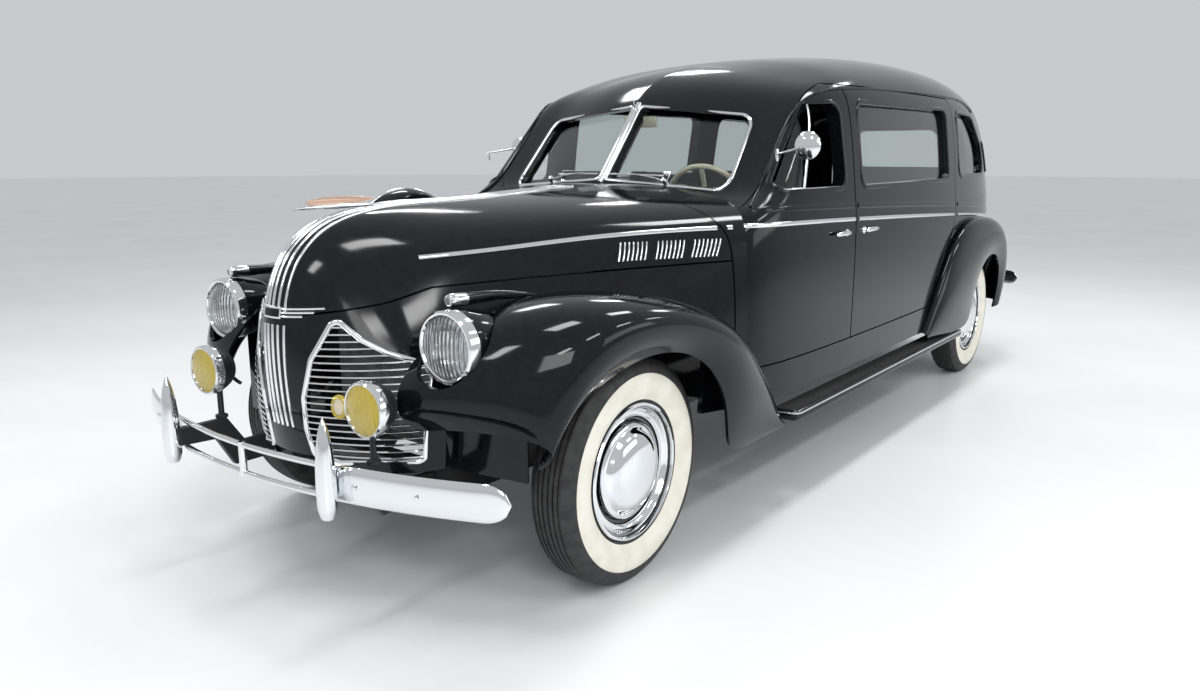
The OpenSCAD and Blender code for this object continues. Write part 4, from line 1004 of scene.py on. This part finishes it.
trim_profile = [(66, 224), (70, 221), (71, 215), (64, 211), (55, 209), (53, 206), (55, 203), (50, 199),
    (42, 196), (38, 191), (38, 180), (40, 176), (36, 176), (34, 190), (38, 202), (50, 212), (62, 219), (63, 224)]
cap_profile = [(38, 158), (46, 156), (50, 150), (51, 142), (56, 136), (64, 130), (74, 118), (82, 100), (88, 76),
    (92, 46), (94, 18), (94.5, 0), (90, 0), (84, 60), (70, 110), (46, 136), (38, 150)]
front_track, rear_track = 1452, 1456


def hub_set(wheel, x, sign, track):
    """A tyre, a wheel, its ring and its cap, at one hub."""
    at = (x, sign * track / 2, wheel_z)
    body = f"wheel_{wheel}"
    tyre = turned(f"tyre_{wheel}_rubber", tyre_profile, at, (0, sign, 0), 120)
    tyre.data.materials.append(tyre_rubber)
    tyre.data.materials.append(whitewall_rubber)
    for face in tyre.data.polygons:
        spot = face.center * 1000
        radius = math.hypot(spot.x - at[0], spot.z - at[2])
        face.material_index = 1 if 229 < radius < 317 and (spot.y - at[1]) * sign > 60 else 0
    activate(tyre)
    bpy.ops.object.shade_smooth_by_angle(angle=math.radians(35))
    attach(tyre, body)
    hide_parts(f"tyre_{wheel}")
    disc = turned(f"wheel_{wheel}_disc", disc_profile, at, (0, sign, 0), 96)
    dress(disc, wheel_enamel, body, "steel_black", f"wheel_{wheel}")
    bright = join([turned(f"wheel_{wheel}_trim", trim_profile, at, (0, sign, 0), 96),
        turned("cap", cap_profile, at, (0, sign, 0), 72, closed=False)])
    dress(bright, chrome_plate, body, "chrome")


for wheel, x, sign, track in (("front_left", front_axle_x, 1, front_track),
        ("front_right", front_axle_x, -1, front_track), ("rear_left", rear_axle_x, 1, rear_track),
        ("rear_right", rear_axle_x, -1, rear_track)):
    hub_set(wheel, x, sign, track)

# ---------------------------------------------------------------- headlamps
# Chromed rims let into the fenders' shoulders, a bright bowl behind a
# fluted lens, and a black housing behind.
rim_profile = [(-12, 92), (-4, 90), (0, 93), (1, 98), (-4, 104), (-14, 106), (-34, 107), (-36, 100), (-20, 96),
    (-16, 94)]
bowl_profile = [(-16, 91), (-30, 88), (-50, 76), (-68, 56), (-80, 30), (-84, 8), (-84, 0), (-87, 0), (-87, 30),
    (-72, 62), (-52, 82), (-30, 93)]
housing_profile = [(-32, 94), (-34, 105), (-60, 105), (-92.5, 98), (-130, 93), (-165, 79), (-195, 51),
    (-205, 0), (-200, 0), (-190, 48), (-160, 74), (-128, 87)]
lens_profile = [(14, 0), (12.5, 30), (8, 60), (2, 80), (-3, 88.5), (-9, 90.5), (-14, 88.5), (-6, 78), (1, 58),
    (6, 30), (7, 0)]
for name, profile, mat, slot_name, nodes_for, closed in (
        ("headlamp_rims", rim_profile, chrome_plate, "chrome", ["headlamps"], True),
        ("headlamp_bowls", bowl_profile, chrome_plate, "chrome", [], False),
        ("headlamp_housings", housing_profile, black_enamel, "black_paint", [], False)):
    pair = join([turned(name, profile, (headlamp_x, sign * headlamp_y, headlamp_z), (1, 0, 0), 72, closed)
        for sign in (1, -1)])
    dress(pair, mat, "body", slot_name, *nodes_for)


def flute(mat, scale, depth):
    """Upright ribs moulded in a lamp's glass."""
    tree = mat.node_tree
    ribs = tree.nodes.new("ShaderNodeTexWave")
    ribs.bands_direction = "Y"
    ribs.inputs["Scale"].default_value = scale
    place = tree.nodes.new("ShaderNodeTexCoord")
    tree.links.new(place.outputs["Object"], ribs.inputs["Vector"])
    raise_grain(mat, ribs.outputs["Fac"], depth)


fluted_glass = finish("fluted_glass", (0.94, 0.96, 0.97), 0.04, Transmission_Weight=0.95, IOR=1.35,
    Coat_Weight=0.6)
flute(fluted_glass, 22.0, 0.003)
lenses = join([turned("headlamp_glasses", lens_profile, (headlamp_x - 2, sign * headlamp_y, headlamp_z),
    (1, 0, 0), 72, False) for sign in (1, -1)])
dress(lenses, fluted_glass, "body", "lens", "headlamp_lenses")

# ---------------------------------------------------------------- fog lamps
# Amber lamps with slim bright rims and dark bowl-shaped bodies, each on a
# post from the bumper bracket.
amber_glass = finish("amber_glass", (0.93, 0.74, 0.10), 0.08, Transmission_Weight=0.55, IOR=1.3,
    Coat_Weight=0.8)
flute(amber_glass, 26.0, 0.002)
fog_rim = [(-6, 70), (0, 72), (1, 75), (-3, 80), (-14, 82), (-30, 80), (-30, 74), (-10, 72)]
fog_body = [(-30, 72), (-31, 78), (-44, 75), (-60, 68), (-66, 62), (-72, 61), (-88, 46), (-100, 18), (-102, 0),
    (-96, 0), (-84, 42), (-58, 62), (-34, 70)]
fog_lens = [(6, 0), (5, 30), (2, 55), (-3, 71), (-8, 71.5), (-5, 55), (-1, 30), (0, 0)]
fog_post = [(0, 0), (0, 20), (8, 20), (12, 12), (14, 9.5), (90, 9.5), (96, 14), (104, 14), (104, 0)]


def fog_pair(name, profile, closed=True):
    """The same lathe-turned part on both fog lamps."""
    return [turned(name, profile, (ahead(-748), sign * 398, 673), (1, 0, 0), 56, closed) for sign in (1, -1)]


fog_posts = [turned("post", fog_post, (ahead(-705), sign * 384, 510.5), (0, 0, 1), 24, False)
    for sign in (1, -1)]
dress(join(fog_pair("fog_lamp_rims", fog_rim)), chrome_plate, "body", "chrome", "fog_lamps")
dress(join(fog_pair("fog_lamp_bodies", fog_body, False) + fog_posts), chassis_paint, "body", "steel_black")
dress(join(fog_pair("fog_lamp_glasses", fog_lens, False)), amber_glass, "body", "amber_lens", "fog_lamp_lenses")

# ---------------------------------------------------------------- front seat
# A bench seat in ribbed cloth: a crowned cushion and a leaning back, each
# with sewn channels from front to back, on a dark plinth.
seat_cloth = finish("seat_cloth", (0.12, 0.105, 0.09), 0.9, Sheen_Weight=0.4)
raise_grain(seat_cloth, noise(seat_cloth, 900.0, 2.0, (1, 3, 1)), 0.0006)
vary_color(seat_cloth, noise(seat_cloth, 500.0, 2.0, (1, 4, 1)), (0.09, 0.075, 0.065), (0.15, 0.13, 0.11))


def cushion(name, low, high, crown, channels, lean=0.0, upright=False):
    """A crowned pad between two corners in millimetres, its channels across the coach."""
    bpy.ops.object.select_all(action="DESELECT")
    centre = [(a + b) / 2000 for a, b in zip(low, high)]
    bpy.ops.mesh.primitive_cube_add(size=1, location=centre)
    pad = bpy.context.object
    pad.name = name
    pad.scale = [(b - a) / 1000 for a, b in zip(low, high)]
    bpy.ops.object.transform_apply(location=True, rotation=True, scale=True)
    bpy.ops.object.mode_set(mode="EDIT")
    bpy.ops.mesh.select_all(action="SELECT")
    bpy.ops.mesh.subdivide(number_cuts=47)
    bpy.ops.object.mode_set(mode="OBJECT")
    half = [(b - a) / 2000 for a, b in zip(low, high)]
    for v in pad.data.vertices:
        u = [(v.co[k] - centre[k]) / half[k] for k in range(3)]
        face = 0 if upright else 2
        others = [k for k in range(3) if k != face]
        edge = max(abs(u[others[0]]), abs(u[others[1]]))
        near = [max(0.0, 1 - abs(u[k]) ** 6) for k in others]
        swell = crown / 1000 * near[0] * near[1]
        channel = (0.009 * abs(math.cos(math.pi * channels * (u[1] + 1) / 2)) ** 0.35
            * min(1, 4 * (1 - abs(u[others[0]]) ** 3)))
        if u[face] > 0.6:
            v.co[face] += swell - 0.012 + channel - 0.05 * max(0, edge - 0.9) * 10 * 0.4
        for k in others:
            v.co[k] -= half[k] * u[k] * 0.02 * max(0.0, 1 - abs(u[face])) ** 0.5
            if abs(u[face]) > 0.9 and abs(u[k]) > 0.96:
                v.co[k] -= math.copysign(0.012, u[k])
        if lean:
            v.co.x -= math.tan(math.radians(lean)) * (v.co.z - low[2] / 1000)
    mod = pad.modifiers.new("soft", "SUBSURF")
    mod.levels = mod.render_levels = 1
    bpy.ops.object.modifier_apply(modifier=mod.name)
    dress(pad, seat_cloth, "body", "fabric")
    return pad


base = cushion("seat_cushion", (130, -650, 645), (635, 650, 785), 10, 14)
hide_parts("front_seat")
cushion("seat_back", (25, -650, 700), (115, 650, 1185), 8, 14, 8.0, True)
bpy.ops.mesh.primitive_cube_add(size=1, location=(0.36, 0, 0.56))
plinth = bpy.context.object
plinth.name = "seat_plinth"
plinth.scale = (0.45, 1.19, 0.165)
bpy.ops.object.transform_apply(location=True, rotation=True, scale=True)
edge_mod = plinth.modifiers.new("edge", "BEVEL")
edge_mod.width = 0.012
edge_mod.segments = 3
bpy.ops.object.modifier_apply(modifier=edge_mod.name)
dress(plinth, chassis_paint, "body", "steel_black")

# ---------------------------------------------------------------- spare wheel cover
# The pressed dome over the spare wheel, with a bright strap laid aslant.
cover_profile = [(0, 0), (0, 300), (10, 325), (32, 340), (65, 345), (100, 341), (128, 320), (141, 280),
    (146, 240), (143, 225), (147, 212), (149, 150), (150, 60), (150, 0)]
cover = turned("spare_cover", cover_profile, (spare_x, -785, spare_z), (0, -1, 0), 120, False)
cover_tree = skin_tree(cover)
dress(cover, black_enamel, "body", "black_paint", "spare_wheel")
strap_line = laid(cover_tree, [((spare_x + 420 * math.cos(a), -860, spare_z + 420 * math.sin(a)),
    (-math.cos(a), 0, -math.sin(a))) for a in np.radians(np.linspace(8, 172, 60))])
dress(moulding("spare_strap", strap_line, 26, 5, False, 0, 0.6), chrome_plate, "body", "chrome")

# ---------------------------------------------------------------- grilles
# Two die-cast grilles of thin level bars in a bright frame.
for side, sign in (("left", 1), ("right", -1)):
    frame_line = laid(nose_skin, front_rays([(sign * y, z) for y, z in grown(grille_outline(0), 3)], nose_start))
    parts = [moulding("grille_frame", frame_line, 18, 7, True)]
    outline = grille_outline(-2)
    for k in range(20):
        z = 478 + 20.4 * k
        crossings = sorted(p[0] + (q[0] - p[0]) * (z - p[1]) / (q[1] - p[1])
            for p, q in zip(outline, outline[1:] + outline[:1]) if (p[1] - z) * (q[1] - z) < 0)
        if len(crossings) < 2:
            continue
        y0, y1 = crossings[0] - 4, crossings[-1] + 4
        rays = front_rays([(sign * y, z) for y in np.linspace(y0, y1, 14)], nose_start)
        line = [(spot - Vector((0.009, 0, 0)), Vector((1, 0, 0.2)).normalized())
            for spot, _ in laid(nose_skin, rays)]
        parts.append(moulding("bar", line, 7, 9, False, 0, 0.3))
    bars = join(parts)
    bars.name = f"grille_{side}"
    dress(bars, chrome_plate, "body", "chrome", *(["grilles"] if sign > 0 else []))

# ---------------------------------------------------------------- bumpers
# Chromed spring-steel bars: round-ended blades outside the guards, two slim
# bars between them at the front, tall pointed guards and black brackets.


def bar(name, path, sizes, up=(0, 0, 1), sides=16):
    """A bar of oval section along a path in millimetres, with a half width and half height at each point."""
    path = [Vector(p) for p in path]
    n = len(path)
    points = []
    for i, p in enumerate(path):
        along = (path[min(i + 1, n - 1)] - path[max(i - 1, 0)]).normalized()
        out = along.cross(Vector(up)).normalized()
        top = out.cross(along).normalized()
        points += [p + out * sizes[i][0] * math.cos(2 * math.pi * k / sides)
                   + top * sizes[i][1] * math.sin(2 * math.pi * k / sides) for k in range(sides)]
    faces = [(i * sides + k, i * sides + (k + 1) % sides, (i + 1) * sides + (k + 1) % sides, (i + 1) * sides + k)
             for i in range(n - 1) for k in range(sides)]
    faces += [tuple(range(sides)), tuple((n - 1) * sides + k for k in reversed(range(sides)))]
    piece = mesh_piece(name, points, faces)
    tidy_mesh(piece, 0.00001)
    return piece


def bow(radius, reach, z, y0, y1, steps, facing=1):
    """Points along a bumper's bow, whose middle is at that reach."""
    return [(facing * (reach - radius + math.sqrt(radius ** 2 - y * y)), y, z) for y in np.linspace(y0, y1, steps)]


def blade_sizes(y0, y1, steps, half_height):
    """A blade's section, full height to near its outer end and rounded there."""
    out = []
    for y in np.linspace(y0, y1, steps):
        share = min(1.0, max(0.0, (abs(y1) - abs(y)) / 70))
        half_depth = 10 * (0.25 + 0.75 * share ** 0.5)
        out.append((half_depth, max(1.5, half_height * (1 - (1 - share) ** 2) ** 0.5)))
    return out


guard_profile = [(0, 0), (0, 16), (6, 20), (30, 27), (90, 28), (150, 26), (200, 22), (240, 15), (265, 8),
    (282, 2), (285, 0)]
short_guard = [(0, 0), (0, 16), (6, 20), (24, 26), (60, 27), (92, 22), (112, 12), (122, 0)]


def bolts(name, spots, facing):
    """Domed bolt heads on the face of a blade."""
    head = [(0, 0), (0, 9), (4, 9), (7, 6), (8, 0)]
    return [turned(name, head, spot, (facing, 0, 0), 18, False) for spot in spots]


def bumper(name, radius, reach, half, z, height, facing, profile, guard_foot):
    """The blades, guards and bolts of one bumper, with slim bars between the front one's guards."""
    parts = []
    for s in (1, -1):
        parts.append(bar("blade", bow(radius, reach, z, s * 376, s * half, 40, facing),
            blade_sizes(376, half, 40, height)))
        parts.append(turned("guard", profile, (facing * (reach + 2), s * 393, guard_foot), (0, 0, 1), 32, False))
    if facing > 0:
        for level in (-43, 43):
            parts.append(bar("slim_bar", bow(radius, reach, z + level, -378, 378, 40), [(8, 9)] * 40))
        parts.append(bar("link", [(reach, 0, z - 52), (reach, 0, z + 52)], [(11, 11)] * 2, (1, 0, 0)))
    else:
        parts.append(bar("blade", bow(radius, reach, z, -378, 378, 40, -1), [(10, height)] * 40))
    parts += bolts("bolt", [(facing * (reach - radius + math.sqrt(radius ** 2 - y * y) + 9), y, z)
        for y in (-455, 455, -640, 640)], facing)
    piece = join(parts)
    piece.name = name
    return piece


front_bar = bumper("front_bumper_bars", 2100, 2872, 880, 490, 53, 1, guard_profile, 400)
dress(front_bar, chrome_plate, "body", "chrome", "front_bumper")
rear_bar = bumper("rear_bumper_bars", 1900, 2872, 850, 500, 49, -1, short_guard, 440)
dress(rear_bar, chrome_plate, "body", "chrome", "rear_bumper")
bracket = [(ahead(-481), 345), (ahead(-481), 420), (ahead(-640), 420), (ahead(-700), 510), (ahead(-862), 510),
    (ahead(-862), 455), (ahead(-740), 448), (ahead(-680), 345)]
rear_bracket = [(astern(901), 350), (astern(901), 415), (astern(960), 415), (astern(1040), 530),
    (astern(1154), 530),
    (astern(1154), 474), (astern(1080), 465), (astern(1010), 350)]
dress(join([side_block(bracket, 361, 383), side_block(rear_bracket, 361, 383)]), chassis_paint,
    "body", "steel_black")

# ---------------------------------------------------------------- splash aprons
# Pressed black sheets that close the space between the nose and each
# fender, ahead of the wheel.
aprons = []
for sign in (1, -1):
    grid = np.array([[(2432 - 30 * ((y - 350) / 330) ** 2, sign * y, z) for y in np.linspace(350, 690, 12)]
        for z in np.linspace(425, 800, 10)])
    aprons.append(panel("apron", grid, grid - np.array([4, 0, 0])))
dress(join(aprons), black_enamel, "body", "black_paint")

# ---------------------------------------------------------------- hood ornament
# A plain streamlined spear in chrome, screwed to the lid, with a clear rose
# fin let into its top.
rose_glass = finish("rose_glass", (0.90, 0.62, 0.45), 0.1, Transmission_Weight=0.7, IOR=1.4, Coat_Weight=0.6)
spear_x = np.linspace(2334, 2648, 26)
spear = bar("ornament_spear", [(x, 0, 1204 - 3 * ((x - 2480) / 160) ** 2) for x in spear_x],
    [(2 + 10 * math.sin(math.pi * t) ** 0.7, 2 + 7 * math.sin(math.pi * t) ** 0.7) for t in np.linspace(0, 1, 26)])
dress(spear, chrome_plate, "hood", "chrome", "hood_ornament")
fin = bar("ornament_fin", [(x, 0, 1217 + 6 * (2600 - x) / 260) for x in np.linspace(2345, 2600, 22)],
    [(1.5 + 2.5 * math.sin(math.pi * t), 2 + 11 * math.sin(math.pi * t ** 0.7) ** 0.8)
        for t in np.linspace(1, 0, 22)])
dress(fin, rose_glass, "hood", "amber_lens")

# ---------------------------------------------------------------- badge
# A blank winged plate at the front of the lid: three chromed feathers each
# way, and a flat centre with a black enamelled panel.
wings = []
for rise, reach_out in ((13, 150), (2, 128), (-9, 100)):
    for sign in (1, -1):
        feather = [(sign * y, 903 + rise + 0.03 * y) for y in np.linspace(30, reach_out, 14)]
        wings.append(moulding("wing", laid(nose_skin, front_rays(feather, badge_start)), 8, 6))
plate_line = laid(nose_skin, front_rays([(y, 905) for y in np.linspace(-38, 38, 12)], badge_start))
wings.append(moulding("plate", plate_line, 38, 9, False, 0, 0.8))
badge = join(wings)
badge.name = "winged_badge"
dress(badge, chrome_plate, "hood", "chrome")
blank_line = [(spot + normal * 0.0088, normal) for spot, normal in laid(nose_skin,
    front_rays([(y, 905) for y in np.linspace(-31, 31, 10)], badge_start))]
dress(moulding("badge_panel", blank_line, 24, 1.2, False, 0, 0.9), black_enamel, "hood", "black_paint")

# ---------------------------------------------------------------- grille disc
# A small blank disc in an amber ring, clipped to the left grille.
disc_y, disc_z = 214, 640
disc_spot = laid(nose_skin, front_rays([(disc_y, disc_z)], badge_start))[0][0] * 1000
disc_at = (disc_spot.x + 8, disc_y, disc_z)
dress(turned("grille_disc_ring", [(0, 26), (4, 24), (5, 33), (2, 36), (-3, 36), (-3, 26)], disc_at,
    (1, 0, 0.1), 48), amber_glass, "body", "amber_lens")
dress(turned("grille_disc_face", [(-3, 0), (-3, 25.5), (2, 25.5), (5, 14), (6, 0)], disc_at,
    (1, 0, 0.1), 40, False), ivory_plastic, "body", "ivory")

# ---------------------------------------------------------------- door handles
# Cast chrome levers, each on a round foot, the pair facing each other.
handle_z = 1033


def handle(sign, foot_x, reach, body):
    """A lever that reaches that far ahead of its foot, or behind it when below zero."""
    y = abs(laid(cabin_skin, side_rays([(foot_x, handle_z)], sign))[0][0].y * 1000)
    foot = turned("foot", [(-4, 0), (-4, 17), (3, 16), (6, 11), (12, 8), (12, 0)], (foot_x, sign * y, handle_z),
        (0, sign, 0), 24, False)
    path = [(foot_x + reach * share, sign * (y + out), handle_z + rise) for share, out, rise in (
        (-0.06, 14, 0), (0.05, 17, 0), (0.3, 19, 1), (0.6, 19, 1), (0.9, 17, 0), (1, 14, -1))]
    lever = bar(f"{body}_handle", path, [(4, 5), (8, 10), (8, 11), (7, 10), (6, 9), (3, 4)])
    dress(join([lever, foot]), chrome_plate, body, "chrome")


for side, sign in (("left", 1), ("right", -1)):
    handle(sign, b_line + 92, 142, f"front_door_{side}")
    handle(sign, b_line - 92, -142, f"rear_door_{side}")

# ---------------------------------------------------------------- side mirrors
# Round mirrors with a smooth bright back, on a slim rod from a small foot.
mirror_back = [(-2, 0), (-2, 49), (0, 52), (4, 53), (10, 50), (16, 40), (21, 24), (24, 0)]
for side, sign, x in (("left", 1, 997), ("right", -1, 675)):
    disc = turned("disc", mirror_back, (x - 12, sign * 870, 1393), (1, 0, 0), 48, False)
    rod = bar(f"mirror_{side}_set", [(1014, sign * 757, 1361), (1018, sign * 772, 1364),
        (1014 + (x - 1014) * 0.5, sign * 822, 1378), (x + 4, sign * 866, 1391)], [(4.5, 4.5)] * 4)
    foot = bar("foot", [(1014, sign * 757, z) for z in (1334, 1342, 1374, 1382)],
        [(3, 4), (5, 7), (5, 7), (3, 4)], (0, 1, 0))
    dress(join([rod, disc, foot]), chrome_plate, f"front_door_{side}", "chrome", f"mirror_{side}")

# ---------------------------------------------------------------- parking lamps
# Torpedo lamps on the headlamps, each with a painted tail along the fender.
lamp_glass = finish("lamp_glass", (0.93, 0.95, 0.96), 0.03, Transmission_Weight=0.92, IOR=1.3,
    Coat_Weight=0.6)
lamp_tails = []
lamp_fronts = []
lamp_eyes = []
for sign in (1, -1):
    at = (2540, sign * 535, 965)
    lamp_eyes.append(turned("eye", [(0, 0), (0, 13), (6, 11), (10, 6), (11, 0)], at, (1, 0, 0.05), 32, False))
    lamp_fronts.append(turned("front", [(0, 13), (2, 16), (-3, 18), (-20, 20), (-60, 19), (-62, 15), (-4, 13)],
        at, (1, 0, 0.05), 32))
    lamp_tails.append(bar("tail", [(2480 - 310 * t, sign * 535, 962 - 26 * t ** 2) for t in np.linspace(0, 1, 16)],
        [(18 * (1 - t) ** 0.5 + 1.5, 18 * (1 - t) ** 0.5 + 1.5) for t in np.linspace(0, 1, 16)]))
dress(join(lamp_fronts), chrome_plate, "body", "chrome", "parking_lamps")
dress(join(lamp_tails), black_enamel, "body", "black_paint")
dress(join(lamp_eyes), lamp_glass, "body", "lens")

# ---------------------------------------------------------------- tail lamps
# Round chromed shells on the rear fenders, each with a domed red glass.
red_glass = finish("red_glass", (0.45, 0.02, 0.02), 0.08, Transmission_Weight=0.4, IOR=1.35, Coat_Weight=0.8)
tail_shell = [(-60, 0), (-52, 16), (-25, 30), (0, 36), (8, 36), (8, 31), (0, 31), (-22, 26), (-46, 12), (-52, 0)]
tail_lens = [(29, 0), (27, 14), (20, 26), (9, 31), (7, 31), (18, 22), (24, 0)]
for name, profile, mat, slot_name, nodes_for in (
        ("tail_lamp_shells", tail_shell, chrome_plate, "chrome", ["tail_lamps"]),
        ("tail_lamp_glasses", tail_lens, red_glass, "lens", [])):
    pair = join([turned(name, profile, (astern(640), sign * 770, 770), (-1, 0, 0), 40, False)
        for sign in (1, -1)])
    dress(pair, mat, "body", slot_name, *nodes_for)

# ---------------------------------------------------------------- running boards
# Steel steps covered in ribbed rubber, with a bright outer edge and end cap.
mat_rubber = finish("mat_rubber", (0.016, 0.016, 0.017), 0.55)
vary_roughness(mat_rubber, noise(mat_rubber, 60.0), 0.42, 0.7)
raise_grain(mat_rubber, noise(mat_rubber, 700.0), 0.0003)
board_x0, board_x1 = astern(-575), ahead(955)
for side, sign in (("left", 1), ("right", -1)):
    step = box_block(board_x0, board_x1, sign * 796, sign * 893, 331, 367)
    ribs = [bar("rib", [(board_x0 + 8, sign * y, 368), (board_x1 - 8, sign * y, 368)], [(2.4, 3.6)] * 2, sides=8)
        for y in range(802, 890, 8)]
    whole = join([step] + ribs)
    whole.name = f"running_board_{side}_mat"
    dress(whole, mat_rubber, "body", "rubber", f"running_board_{side}")
    rim = bar("edge", [(board_x0 + 2, sign * 902, 351), (board_x1 - 20, sign * 902, 351),
        (board_x1 - 4, sign * 896, 351), (board_x1 + 5, sign * 880, 351), (board_x1 + 6, sign * 800, 351)],
        [(9, 20), (9, 20), (8, 20), (7, 20), (6, 20)])
    rim.name = f"running_board_{side}_edge"
    dress(rim, black_enamel, "body", "black_paint")
    line = bar(f"running_board_{side}_trim", [(board_x0 + 4, sign * 909, 362), (board_x1 - 20, sign * 909, 362),
        (board_x1 - 2, sign * 903, 362), (board_x1 + 9, sign * 882, 362), (board_x1 + 10, sign * 802, 362)],
        [(4, 4)] * 5, sides=10)
    dress(line, chrome_plate, "body", "chrome")

# ---------------------------------------------------------------- wipers
# Two slim chromed wipers, each on a turned pivot, parked along the bottom
# of the windshield.
wiper_parts = []
for sign in (1, -1):
    arm_line = [(sign * y, z) for y, z in ((300, 1248), (250, 1262), (170, 1274), (110, 1280))]
    arm = [spot * 1000 + Vector((14, 0, 4)) for spot, _ in laid(cabin_skin, front_rays(arm_line, cabin_start))]
    wiper_parts.append(bar("arm", arm, [(3.5, 2.5)] * 4))
    wiper_parts.append(turned("pivot", [(-10, 0), (-10, 13), (6, 12), (14, 8), (16, 0)], arm[0], (0.7, 0, 0.7),
        24, False))
    blade_line = [(sign * y, 1272 + 0.02 * (300 - y)) for y in np.linspace(280, 30, 12)]
    wiper_parts.append(bar("blade", [spot * 1000 + Vector((7, 0, 2))
        for spot, _ in laid(cabin_skin, front_rays(blade_line, cabin_start))], [(2.5, 4)] * 12))
wipers = join(wiper_parts)
wipers.name = "wipers"
dress(wipers, chrome_plate, "body", "chrome")

# ---------------------------------------------------------------- inner mirror and blank plates
# A framed mirror hung inside above the windshield, and two blank black
# plates with bright edges that stand on the dashboard.


def plate(name, at, size, tip, mat, slot_name, edge=0.006):
    """A thin block with softened edges, leaned by tip[0] and turned by tip[1] degrees."""
    bpy.ops.object.select_all(action="DESELECT")
    bpy.ops.mesh.primitive_cube_add(size=1)
    piece = bpy.context.object
    piece.name = name
    piece.data.transform(Matrix.Translation(Vector(at) / 1000) @ Matrix.Rotation(math.radians(tip[1]), 4, "Z")
        @ Matrix.Rotation(math.radians(tip[0]), 4, "Y") @ Matrix.Diagonal((*(Vector(size) / 1000), 1)))
    round_off = piece.modifiers.new("edge", "BEVEL")
    round_off.width = edge
    round_off.segments = 4
    bpy.ops.object.modifier_apply(modifier=round_off.name)
    return dress(piece, mat, "body", slot_name)


plate("inner_mirror", (835, 0, 1500), (12, 170, 48), (12, 0), ivory_plastic, "ivory", 0.005)
dress(bar("inner_mirror_stem", [(845, 0, 1520), (880, 0, 1560), (890, 0, 1590)], [(4, 4)] * 3), chrome_plate,
    "body", "chrome")
for side, sign in (("left", 1), ("right", -1)):
    tip = (-28, -22 * sign * 0.6)
    plate(f"blank_plate_{side}", (1015, sign * 165, 1268), (4, 235, 42), tip, black_enamel, "black_paint", 0.0015)
    plate(f"plate_back_{side}", (1012, sign * 165, 1267), (3, 243, 49), tip, chrome_plate, "chrome", 0.001)

for scratch in (whole_cabin, whole_glass, cabin_block, whole_nose, nose_block):
    bpy.data.objects.remove(scratch)
